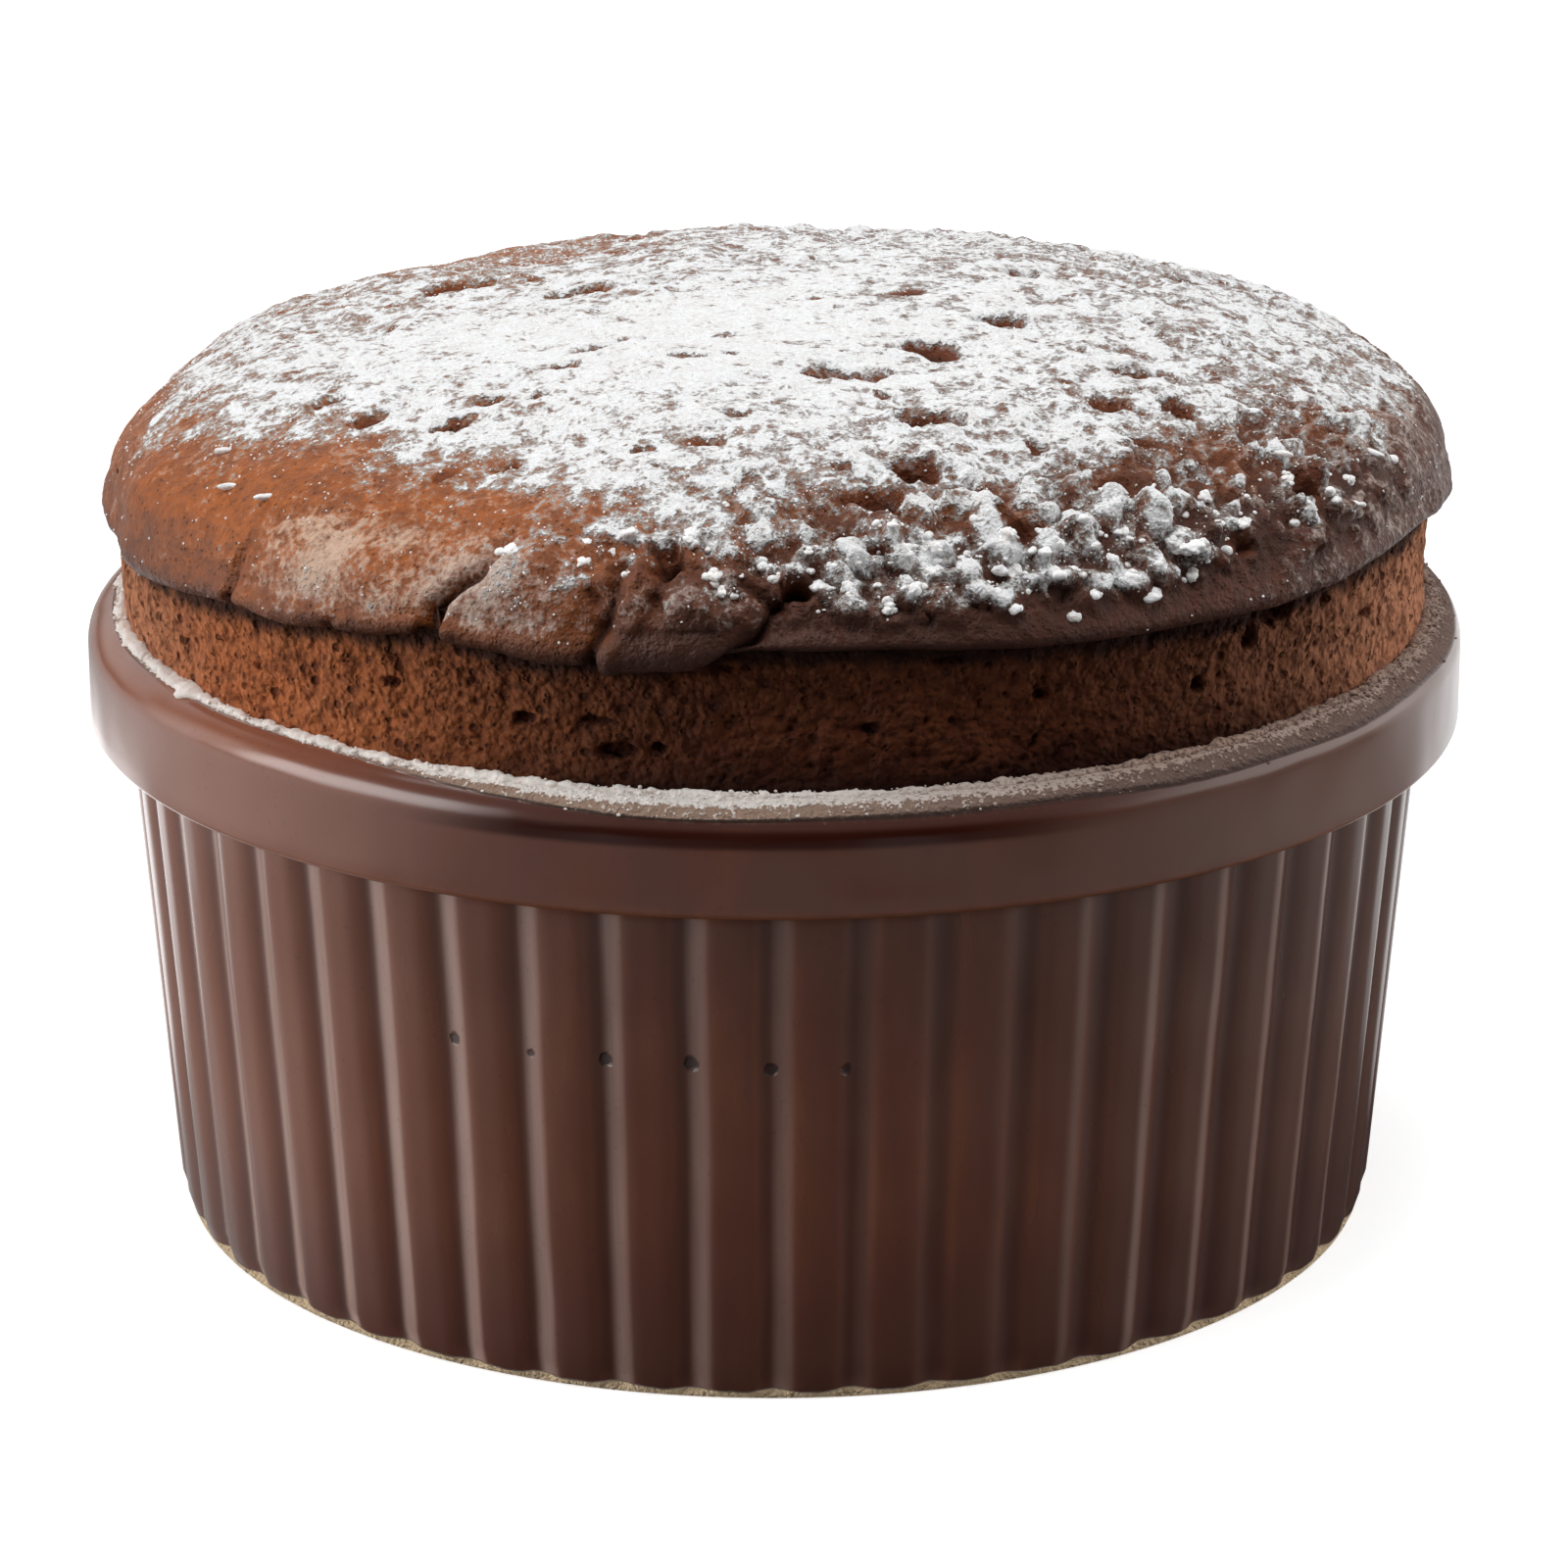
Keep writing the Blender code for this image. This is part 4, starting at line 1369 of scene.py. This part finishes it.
class SOUFFLE_OT_crust(bpy.types.Operator):
    """Builds the baked crust with its pits, folds and dusting of sugar"""

    bl_idname = "souffle.crust"
    bl_label = "Build the crust"

    def execute(self, context):
        settings = context.scene.souffle
        arc, azimuth = crust_points()
        triangles = disc_triangles(CRUST_RINGS)
        even = crust_base(arc, azimuth)
        normals = vertex_normals(even, triangles)
        relief, numbers = crust_relief(even, arc, azimuth, settings.crust)
        last = 6 * CRUST_RINGS
        rim = len(even) - last
        edge_hold = smooth(arc, CRUST_ARC - 0.1, CRUST_ARC - 1.2)
        relief = relief * (0.35 + 0.65 * edge_hold)
        points = even + normals * relief[:, None]
        ceiling = CROWN_HEIGHT - CROWN_MARGIN
        over = np.maximum(points[:, 2] - (ceiling - 0.5), 0.0)
        points[:, 2] -= over - 0.5 * (1.0 - np.exp(-over / 0.5))
        edge = points[rim:]
        edge_azimuth = azimuth[rim:]
        under = [around(np.full(last, radius), edge_azimuth, edge[:, 2] + up) for radius, up in CRUST_UNDER]
        base = len(points)
        points = np.concatenate([points, *under, [(0.0, 0.0, CRUST_UNDER_POLE)]])
        faces = [triangles, ring_triangles(base, rim, last), ring_triangles(base + last, base, last)]
        faces.append(fan_triangles(base + last, last, base + 2 * last, outward=False))
        numbers = {key: np.append(values, np.zeros(2 * last + 1)) for key, values in numbers.items()}
        grains = smooth(numbers["sugar"], 0.0, 0.4) * (0.35 + 0.65 * smooth(numbers["sugar"], 0.75, 0.4))
        numbers["grains"] = np.maximum(grains, STRAY_GRAINS * (numbers["deep"] < 0.3))
        mesh = make_mesh("crust", points, np.concatenate(faces), numbers)
        crust = make_object("crust", mesh, crust_material(settings.crust, settings.sugar))
        finish_piece(crust, "souffle_crust", "souffle")
        return {"FINISHED"}


# Sugar -------------------------------------------------------------------------------------


def ball(divisions):
    """Points and triangles of an icosphere of radius 1."""
    bm = bmesh.new()
    bmesh.ops.create_icosphere(bm, subdivisions=divisions, radius=1.0)
    points = np.array([vertex.co for vertex in bm.verts])
    triangles = np.array([[vertex.index for vertex in face.verts] for face in bm.faces])
    bm.free()
    return points, triangles


def grain_tree():
    """Scatters small faceted grains over a mesh, thickest where its number grains is 1."""
    inputs = (
        ("Radius", "NodeSocketFloat", 0.00011),
        ("Density", "NodeSocketFloat", 1.5e6),
        ("Seed", "NodeSocketInt", SEED),
        ("Material", "NodeSocketMaterial", None),
    )
    group, graph, wires = new_geometry("scattered_grains", inputs)
    density = graph.read("grains") * wires["Density"]
    bed = {"Mesh": wires["Geometry"], "Density": density, "Seed": wires["Seed"]}
    scattered = graph.add(
        "GeometryNodeDistributePointsOnFaces", {"distribute_method": "RANDOM"}, bed, "Points"
    )
    ico = graph.add("GeometryNodeMeshIcoSphere", None, {"Radius": wires["Radius"], "Subdivisions": 1}, "Mesh")
    whole = (math.tau, math.tau, math.tau)
    ranges = (((0.5, 0.45, 0.45), (1.35, 1.2, 0.95), 3), ((0.0, 0.0, 0.0), whole, 5))
    kind = {"data_type": "FLOAT_VECTOR"}
    size, turn = (
        graph.add("FunctionNodeRandomValue", kind, {"Min": low, "Max": high, "Seed": seed}, "Value")
        for low, high, seed in ranges
    )
    grains = {"Points": scattered, "Instance": ico, "Rotation": turn, "Scale": size}
    close_geometry(graph, graph.add("GeometryNodeInstanceOnPoints", None, grains), wires["Material"])
    return group


def clump_meshes(places, sizes, stretch, seed, divisions):
    """Rough little lumps at places in millimetres, as one list of points and triangles."""
    unit, faces = ball(divisions)
    count = len(places)
    random = np.random.default_rng(seed)
    angles = random.uniform(0.0, math.tau, count)
    shape = random.uniform(0.75, 1.25, (count, 3)) * stretch
    local = unit[None] * shape[:, None] * sizes[:, None, None]
    local = spun(local, angles[:, None])
    shift = places[:, None] + 37.0 * np.arange(count)[:, None, None]
    wave = (local + shift).reshape(-1, 3)
    swell = 1.0 + CLUMP_ROUGHNESS * (grain(wave, 0.75, seed) + 0.7 * grain(wave, 0.38, seed + 1))
    if divisions > 3:
        swell += 0.45 * CLUMP_ROUGHNESS * grain(wave, 0.2, seed + 2)
    points = (local * swell.reshape(count, -1, 1) + places[:, None]).reshape(-1, 3)
    triangles = (faces[None] + (np.arange(count) * len(unit))[:, None, None]).reshape(-1, 3)
    return points, triangles


CLUMP_ROUGHNESS = 0.34
CLUMP_STRETCH = np.array((1.05, 0.95, 0.70))
RIM_STRETCH = np.array((1.0, 1.0, 0.8))

# Clumps of sugar with a place of their own: arc length, azimuth and radius
NAMED_CLUMPS = (
    (44.9, -7.3, 1.0), (45.6, 14, 1.05), (46.5, 11, 0.8), (47.7, 13, 1.0), (48.9, 12, 0.75),
    (49.6, 11, 0.7), (50.4, 9, 0.85), (49.0, 6, 0.75), (44.5, 6, 0.6), (46.0, 3, 0.8), (48.1, 0, 0.6),
    (47.1, -1, 0.55), (48.3, 20, 1.1), (46.2, 20, 0.8), (49.9, 18, 0.75), (51.1, 19, 0.7),
    (48.9, 36, 1.15), (51.6, 32, 1.0), (50.8, 36, 0.8), (50.8, 26, 0.75), (52.0, 24, 0.6),
    (47.8, 43, 0.95), (48.1, 50, 0.8), (48.0, 59, 0.7), (50.2, 30, 0.8), (44.7, -7, 0.7),
    (48.1, -5, 0.85), (49.3, -4, 0.6), (46.8, -22, 0.95), (45.6, -16, 0.7),
    (45.0, -12, 0.75), (46.4, -13.5, 0.5), (47.6, -15.5, 0.6), (49.6, -3.0, 0.42), (48.6, -11.8, 0.4),
    (48.4, 3.5, 0.7), (47.2, 24, 0.8), (49.2, 23, 0.7), (45.4, 41, 0.8), (46.9, 31, 0.7), (48.4, 29, 0.8),
)

# Long grains: arc length, azimuth, length and turn
LONG_GRAINS = (
    (46.3, -50, 1.9, 28), (46.2, -56, 1.7, 8), (47.1, 64, 2.0, -35), (43.9, -62, 1.3, 15),
    (44.6, 52, 1.4, -20),
)
LONG_GRAIN_HALVES = (0.26, 0.24)

# The ridge of sugar on the inner side of the rim: azimuth and half thickness
RIDGE_STATIONS = (
    (-180, 0.40), (-120, 0.42), (-80, 0.50), (-60, 0.46), (-40, 0.44), (-20, 0.36), (0, 0.30),
    (20, 0.26), (60, 0.30), (120, 0.36),
)
RIM_CLUMP_SIZES = ((-180, 0.7), (-90, 1.0), (-10, 1.1), (0, 0.8), (20, 0.6), (90, 0.7))
RIDGE_ANGLE = 98.0
RIDGE_SEGMENTS = 1500
RIDGE_SIDES = 12
RIM_GRAINS = 6500
RIDGE_GRAINS = 2200


def crust_finder(crust):
    """Looks up the crust's surface at an arc length and an azimuth."""
    count = len(crust.data.vertices)
    flat = np.zeros(3 * count, np.float32)
    crust.data.vertices.foreach_get("co", flat)
    surface = flat.reshape(-1, 3).astype(float) / MM

    def place(arc, azimuth):
        ring = np.clip(np.rint(np.asarray(arc) / CRUST_ARC * CRUST_RINGS).astype(int), 1, CRUST_RINGS)
        step = np.rint((np.asarray(azimuth) % 360.0) / 360.0 * 6 * ring).astype(int) % (6 * ring)
        return surface[1 + 3 * ring * (ring - 1) + step]

    return place


class SOUFFLE_OT_grains(bpy.types.Operator):
    """Scatters loose grains of sugar over the crust"""

    bl_idname = "souffle.grains"
    bl_label = "Scatter the grains"

    def execute(self, context):
        settings = context.scene.souffle.sugar
        crust = bpy.data.objects["crust"]
        material = sugar_material()
        values = {
            "Radius": settings.grain_size,
            "Density": settings.grain_density,
            "Seed": SEED,
            "Material": material,
        }
        source = make_object("grain_bed", crust.data.copy())
        grains = grown("sugar_grains", source, grain_tree(), values, material)
        bpy.data.objects.remove(source)
        finish_piece(grains, "souffle_crust")
        return {"FINISHED"}


class SOUFFLE_OT_clumps(bpy.types.Operator):
    """Lays clumps and long grains of sugar on the crust"""

    bl_idname = "souffle.clumps"
    bl_label = "Lay the clumps"

    def execute(self, context):
        settings = context.scene.souffle.sugar
        place = crust_finder(bpy.data.objects["crust"])
        random = np.random.default_rng(SEED)
        arcs, azimuths, sizes = (list(column) for column in zip(*NAMED_CLUMPS))
        for _ in range(settings.clumps):
            azimuth = random.triangular(-12.0, 30.0, 72.0)
            arc = random.normal(47.6, 2.2)
            reach = np.interp(azimuth, (-12.0, 5.0, 50.0, 72.0), (48.0, 50.6, 50.2, 48.0))
            if 42.0 < arc < reach:
                arcs.append(arc)
                azimuths.append(azimuth)
                sizes.append(0.22 + 0.42 * random.random() ** 2)
        for _ in range(settings.clumps // 2):
            azimuths.append(random.uniform(-180.0, 180.0))
            arcs.append(50.0 * math.sqrt(random.uniform(0.02, 0.75)))
            sizes.append(0.16 + 0.26 * random.random() ** 2)
        centres = place(np.array(arcs), np.array(azimuths))
        sizes = np.array(sizes)
        centres[:, 2] -= 0.28 * sizes
        centres[:, 2] = np.minimum(centres[:, 2], CROWN_HEIGHT - 0.02 - 1.1 * sizes)
        named = len(NAMED_CLUMPS)
        material = sugar_material()
        kinds = (("sugar_clumps", 0, named, 3, 4), ("sugar_crumbs", named, len(sizes), 2, 3))
        for name, first, last, parts, divisions in kinds:
            count = last - first
            here = sizes[first:last]
            offsets = random.normal(0.0, 0.45, (count, parts, 3)) * here[:, None, None]
            offsets[..., 2] *= 0.5
            offsets[:, 0] = 0.0
            shares = random.uniform(0.35, 0.65, (count, parts)) * here[:, None]
            shares[:, 0] = 0.68 * here
            spots = (centres[first:last, None] + offsets).reshape(-1, 3)
            radii = shares.ravel()
            spots[:, 2] = np.minimum(spots[:, 2], CROWN_HEIGHT - 0.05 - 1.5 * radii)
            points, triangles = clump_meshes(spots, radii, CLUMP_STRETCH, SEED + 2 + divisions, divisions)
            clumps = make_object(name, make_mesh(name, points, triangles), material)
            finish_piece(clumps, "souffle_crust")

        arcs, azimuths, lengths, turns = (np.array(column, float) for column in zip(*LONG_GRAINS))
        unit, faces = ball(3)
        centres = place(arcs, azimuths)
        rods = []
        for centre, length, turn in zip(centres, lengths, turns):
            angle = math.radians(turn)
            rod = unit * np.array((0.5 * length, *LONG_GRAIN_HALVES))
            rod = rod * (1.0 + 0.12 * grain(unit * 3.0 + length * 20.0, 1.0, SEED)[:, None])
            droop = 0.35 * rod[:, 0] * math.sin(angle) ** 2
            rod = spun(rod, angle) + centre
            rod[:, 2] += 0.15 - droop
            rods.append(rod)
        triangles = np.concatenate([faces + k * len(unit) for k in range(len(rods))])
        mesh = make_mesh("long_grains", np.concatenate(rods), triangles)
        grains = make_object("long_grains", mesh, material)
        finish_piece(grains, "souffle_crust")
        return {"FINISHED"}


def rim_ridge():
    """The uneven ridge of sugar between the rim and the crumb, as a tube all the way round."""
    count, sides = RIDGE_SEGMENTS, RIDGE_SIDES
    azimuth, turn = np.meshgrid(all_round(count), np.radians(all_round(sides)), indexing="ij")
    even = around(RIM_CENTRE_RADIUS, azimuth, RIM_TOP)
    thick = round_blend(RIDGE_STATIONS, azimuth, 1, 3.0)
    thick = thick * (1.0 + 0.50 * grain(even, 6.0, 304) + 0.42 * grain(even, 2.2, 305))
    centre, height = rim_section(RIM_ROUND, RIDGE_ANGLE)
    height = height + 0.1 * thick
    even = around(centre + thick * np.cos(turn), azimuth, height + thick * np.sin(turn)).reshape(-1, 3)
    swell = 1.0 + 0.34 * grain(even, 1.7, 301) + 0.50 * grain(even, 0.8, 302) + 0.46 * grain(even, 0.4, 303)
    spread = thick * swell.reshape(count, sides)
    radius = centre + 1.15 * spread * np.cos(turn)
    points = around(radius, azimuth, height + 0.75 * spread * np.sin(turn)).reshape(-1, 3)
    faces = [ring_triangles(((k + 1) % count) * sides, k * sides, sides) for k in range(count)]
    return points, np.concatenate(faces), azimuth.ravel()


class SOUFFLE_OT_rim_sugar(bpy.types.Operator):
    """Lays the ridge of sugar along the rim and the grains on it"""

    bl_idname = "souffle.rim_sugar"
    bl_label = "Lay the rim's sugar"

    def execute(self, context):
        settings = context.scene.souffle.sugar
        ridge, ridge_triangles, ridge_azimuth = rim_ridge()
        random = np.random.default_rng(SEED + 30)
        azimuth = random.uniform(-180.0, 180.0, settings.rim_clumps)
        size = 0.10 + 0.26 * random.random(len(azimuth)) ** 2.2
        size *= round_blend(RIM_CLUMP_SIZES, azimuth, blur=RIM_BLUR)
        angle = RIDGE_ANGLE - 9.0 * np.abs(random.normal(0.0, 1.0, len(azimuth)))
        angle = np.where(random.random(len(azimuth)) < heaped_on_rim(azimuth, angle) + 0.2, angle, 97.0)
        spots = self.on_rim(azimuth, angle, 0.45 * size)
        lumps, lump_triangles = clump_meshes(spots, size, RIM_STRETCH, SEED + 31, 2)
        lump_azimuth = np.repeat(azimuth, len(lumps) // len(azimuth))

        azimuth = random.uniform(-180.0, 180.0, RIM_GRAINS)
        angle = random.uniform(20.0, 102.0, RIM_GRAINS)
        chance = 0.85 * heaped_on_rim(azimuth, angle) + 0.15 * powder_on_rim(azimuth, angle)
        keep = random.random(RIM_GRAINS) < chance
        azimuth = np.append(azimuth[keep], random.uniform(-180.0, 180.0, RIDGE_GRAINS))
        angle = np.append(angle[keep], random.normal(96.0, 6.0, RIDGE_GRAINS))
        on_ridge = np.arange(len(azimuth)) >= len(azimuth) - RIDGE_GRAINS
        size = 0.05 + 0.12 * random.random(len(azimuth)) ** 1.5
        spots = self.on_rim(azimuth, angle, 0.2 * size + 0.30 * on_ridge * random.random(len(azimuth)))
        grains, grain_triangles = clump_meshes(spots, size, RIM_STRETCH, SEED + 32, 1)
        grain_azimuth = np.repeat(azimuth, len(grains) // len(azimuth))

        points = np.concatenate([ridge, lumps, grains])
        lump_triangles = lump_triangles + len(ridge)
        grain_triangles = grain_triangles + len(ridge) + len(lumps)
        triangles = np.concatenate([ridge_triangles, lump_triangles, grain_triangles])
        browned = browned_on_rim(np.concatenate([ridge_azimuth, lump_azimuth, grain_azimuth]))
        mesh = make_mesh("rim_sugar", points, triangles, {"browned": browned})
        sugar = make_object("rim_sugar", mesh, rim_dust_material())
        finish_piece(sugar, "ramekin_glaze")
        return {"FINISHED"}

    @staticmethod
    def on_rim(azimuth, angle, lift):
        radius, height = rim_section(RIM_ROUND + lift, angle)
        return around(radius, azimuth, height)


# Stage -------------------------------------------------------------------------------------


def studio_world(settings):
    """White cards on the left, on the right and behind, a dark room in front, a gap at the far horizon."""
    world = bpy.data.worlds.new("studio")
    bpy.context.scene.world = world
    world.use_nodes = True
    world.node_tree.nodes.clear()
    graph = Graph(world.node_tree)
    across, away, up = graph.parts(graph.add("ShaderNodeTexCoord", None, None, "Generated"))
    left = (across * -1.0 - away * 0.15).rise(0.60, 0.92) * settings.left_level
    right = (across + away * 0.15).rise(0.62, 0.95) * settings.right_level
    back = away.rise(0.40, 0.75) * up.rise(0.02, 0.24) * settings.back_level
    cards = (left.most(right) * up.rise(0.66, 0.42)).most(back * up.rise(0.80, 0.66))
    strength = settings.left_level + settings.right_level
    colour = graph.blend((cards + settings.front_level) / strength, BLACK, WHITE)
    shader = graph.add("ShaderNodeBackground", None, {"Color": colour, "Strength": strength})
    graph.add("ShaderNodeOutputWorld", None, {"Surface": shader})


def area_light(name, place, width, depth, power):
    data = bpy.data.lights.new(name, "AREA")
    data.shape = "RECTANGLE"
    data.size = width
    data.size_y = depth
    data.energy = power
    light = bpy.data.objects.new(name, data)
    light.location = place
    light.rotation_euler = (Vector(LIGHT_TARGET) - Vector(place)).to_track_quat("-Z", "Y").to_euler()
    bpy.context.scene.collection.objects.link(light)
    return light


def board(name, corners, material):
    """A flat four-cornered card."""
    return make_object(name, make_mesh(name, corners, [(0, 1, 2), (0, 2, 3)]), material)


def reflected_card(name, corners, strength, glow):
    """A glowing card that is only seen in reflections; glow builds the share of its strength from a place."""
    material, graph = new_material(name)
    colour = graph.blend(glow(graph, object_place(graph)), BLACK, WHITE)
    close_material(graph, {
        "Base Color": (*BLACK, 1.0), "Specular IOR Level": 0.0,
        "Emission Color": colour, "Emission Strength": strength,
    })
    card = board(name, corners, material)
    card.visible_camera = False
    card.visible_diffuse = False
    card.visible_transmission = False
    card.visible_shadow = False


FLOOR_STRENGTH = 2.25
FLOOR_HALF = 4.0 / MM
FLOOR_EMISSION = 0.72
CARD_DEPTH = -1.0
LIGHT_TARGET = (0.0, 0.0, 0.05)
WINDOW_NEAR = (-560.0, -800.0)
WINDOW_FAR = (-880.0, 180.0)
WINDOW_BOTTOM = -60.0
WINDOW_TOP = 620.0
CAMERA_AIM_RIGHT = 0.0007
CAMERA_AIM_HEIGHT = 0.030


def window_glow(graph, place):
    """A window with soft edges."""
    _, away, height = graph.parts(place)
    sides = away.rise(-0.72, -0.35) * away.rise(0.15, 0.02)
    return sides * height.rise(-0.02, 0.20) * height.rise(0.60, 0.46)


def floor_glow(graph, place):
    """Bright floor on the left and behind, a dim one elsewhere, both darker close to the dish."""
    across, away, _ = graph.parts(place)
    distance = (across * across + away * away) ** 0.5
    left = (across * -1.0 + away * 0.35) / distance
    behind = (away + across * 0.25) / distance
    near = distance.rise(0.170, 0.045)
    far_side = (away / distance).rise(0.25, 0.90) * across.rise(0.02, -0.02)
    close = distance.rise(0.165, 0.105) * (away / distance).rise(0.50, 0.15)
    lit = left.rise(0.22, 0.98) * (near * 0.9 + 1.25) * (1.0 - far_side * 0.55) * (1.0 - close * 0.72)
    dim = (1.0 - near * 0.90) * distance.rise(0.188, 0.176) * 0.44
    streak = ((away - across * 0.6) / distance).rise(0.70, 1.05) * across.rise(0.0, -0.02)
    streak = streak * distance.rise(0.165, 0.125)
    lit = lit.most(streak * 2.2)
    return lit.most(behind.rise(0.35, 0.85) * (1.3 - far_side * 0.7)).most(dim) / FLOOR_STRENGTH


class SOUFFLE_OT_stage(bpy.types.Operator):
    """Sets up the floor, the lights and the camera"""

    bl_idname = "souffle.stage"
    bl_label = "Set up the studio"

    def execute(self, context):
        settings = context.scene.souffle.stage
        material, graph = new_material("floor_paper")
        tone = graph.noise(object_place(graph), 30.0, 2.0)
        colour = graph.blend(tone, settings.floor, (0.57, 0.57, 0.57))
        glow = {"Emission Color": (*WHITE, 1.0), "Emission Strength": FLOOR_EMISSION}
        close_material(graph, {"Base Color": colour, "Roughness": 0.8, **glow})
        corners = FLOOR_HALF * np.array(((-1, -1, 0), (1, -1, 0), (1, 1, 0), (-1, 1, 0)))
        floor = board("floor", corners, material)
        floor.visible_diffuse = False
        floor.visible_glossy = False
        floor.visible_transmission = False
        studio_world(settings)
        above = area_light("top_light", (-0.05, -0.04, 0.62), 0.54, 0.42, settings.top_power)
        above.data.spread = math.radians(160.0)
        area_light("front_strip", (0.04, -0.22, 0.60), 0.50, 0.10, settings.front_power)
        reflected_card("floor_card", corners + (0.0, 0.0, CARD_DEPTH), FLOOR_STRENGTH, floor_glow)
        sides = ((*WINDOW_NEAR, WINDOW_BOTTOM), (*WINDOW_NEAR, WINDOW_TOP))
        window = np.array((*sides, (*WINDOW_FAR, WINDOW_TOP), (*WINDOW_FAR, WINDOW_BOTTOM)))
        reflected_card("window_card", window, settings.window_level, window_glow)

        middle = (CAD_BOX[0] + CAD_BOX[1]) / 2.0
        aim = Vector((middle.x + CAMERA_AIM_RIGHT, middle.y, CAMERA_AIM_HEIGHT))
        elevation = settings.camera_elevation
        back = Vector((0.0, -math.cos(elevation), math.sin(elevation)))
        data = bpy.data.cameras.new("camera")
        data.lens = settings.camera_lens
        data.sensor_width = 36.0
        data.clip_start = 0.01
        data.clip_end = 20.0
        camera = bpy.data.objects.new("camera", data)
        camera.location = aim + back * settings.camera_distance
        camera.rotation_euler = (-back).to_track_quat("-Z", "Y").to_euler()
        context.scene.collection.objects.link(camera)
        context.scene.camera = camera
        context.scene.view_settings.view_transform = "Standard"
        return {"FINISHED"}


class SOUFFLE_PT_panel(bpy.types.Panel):
    """Lists the settings and the steps in order"""

    bl_idname = "SOUFFLE_PT_panel"
    bl_label = "Chocolate souffle"
    bl_space_type = "VIEW_3D"
    bl_region_type = "UI"
    bl_category = "Souffle"

    def draw(self, context):
        settings = context.scene.souffle
        for group in (settings.dish, settings.crumb, settings.crust, settings.sugar, settings.stage):
            box = self.layout.box()
            for key in group.__annotations__:
                box.prop(group, key)
        for step in STEPS:
            self.layout.operator(step.bl_idname)


STEPS = (
    SOUFFLE_OT_dish,
    SOUFFLE_OT_crumb,
    SOUFFLE_OT_crust,
    SOUFFLE_OT_grains,
    SOUFFLE_OT_clumps,
    SOUFFLE_OT_rim_sugar,
    SOUFFLE_OT_stage,
)
CLASSES = (
    DishSettings, CrumbSettings, CrustSettings, SugarSettings, StageSettings, SouffleSettings, *STEPS,
    SOUFFLE_PT_panel,
)


def register():
    for item in CLASSES:
        bpy.utils.register_class(item)
    bpy.types.Scene.souffle = bpy.props.PointerProperty(
        name="Souffle", description="Settings of the souffle", type=SouffleSettings
    )


def unregister():
    del bpy.types.Scene.souffle
    for item in reversed(CLASSES):
        bpy.utils.unregister_class(item)


def main():
    """Registers the classes and builds every piece in order."""
    register()
    bpy.ops.souffle.dish()
    bpy.ops.souffle.crumb()
    bpy.ops.souffle.crust()
    bpy.ops.souffle.grains()
    bpy.ops.souffle.clumps()
    bpy.ops.souffle.rim_sugar()
    bpy.ops.souffle.stage()


if __name__ == "__main__":
    main()
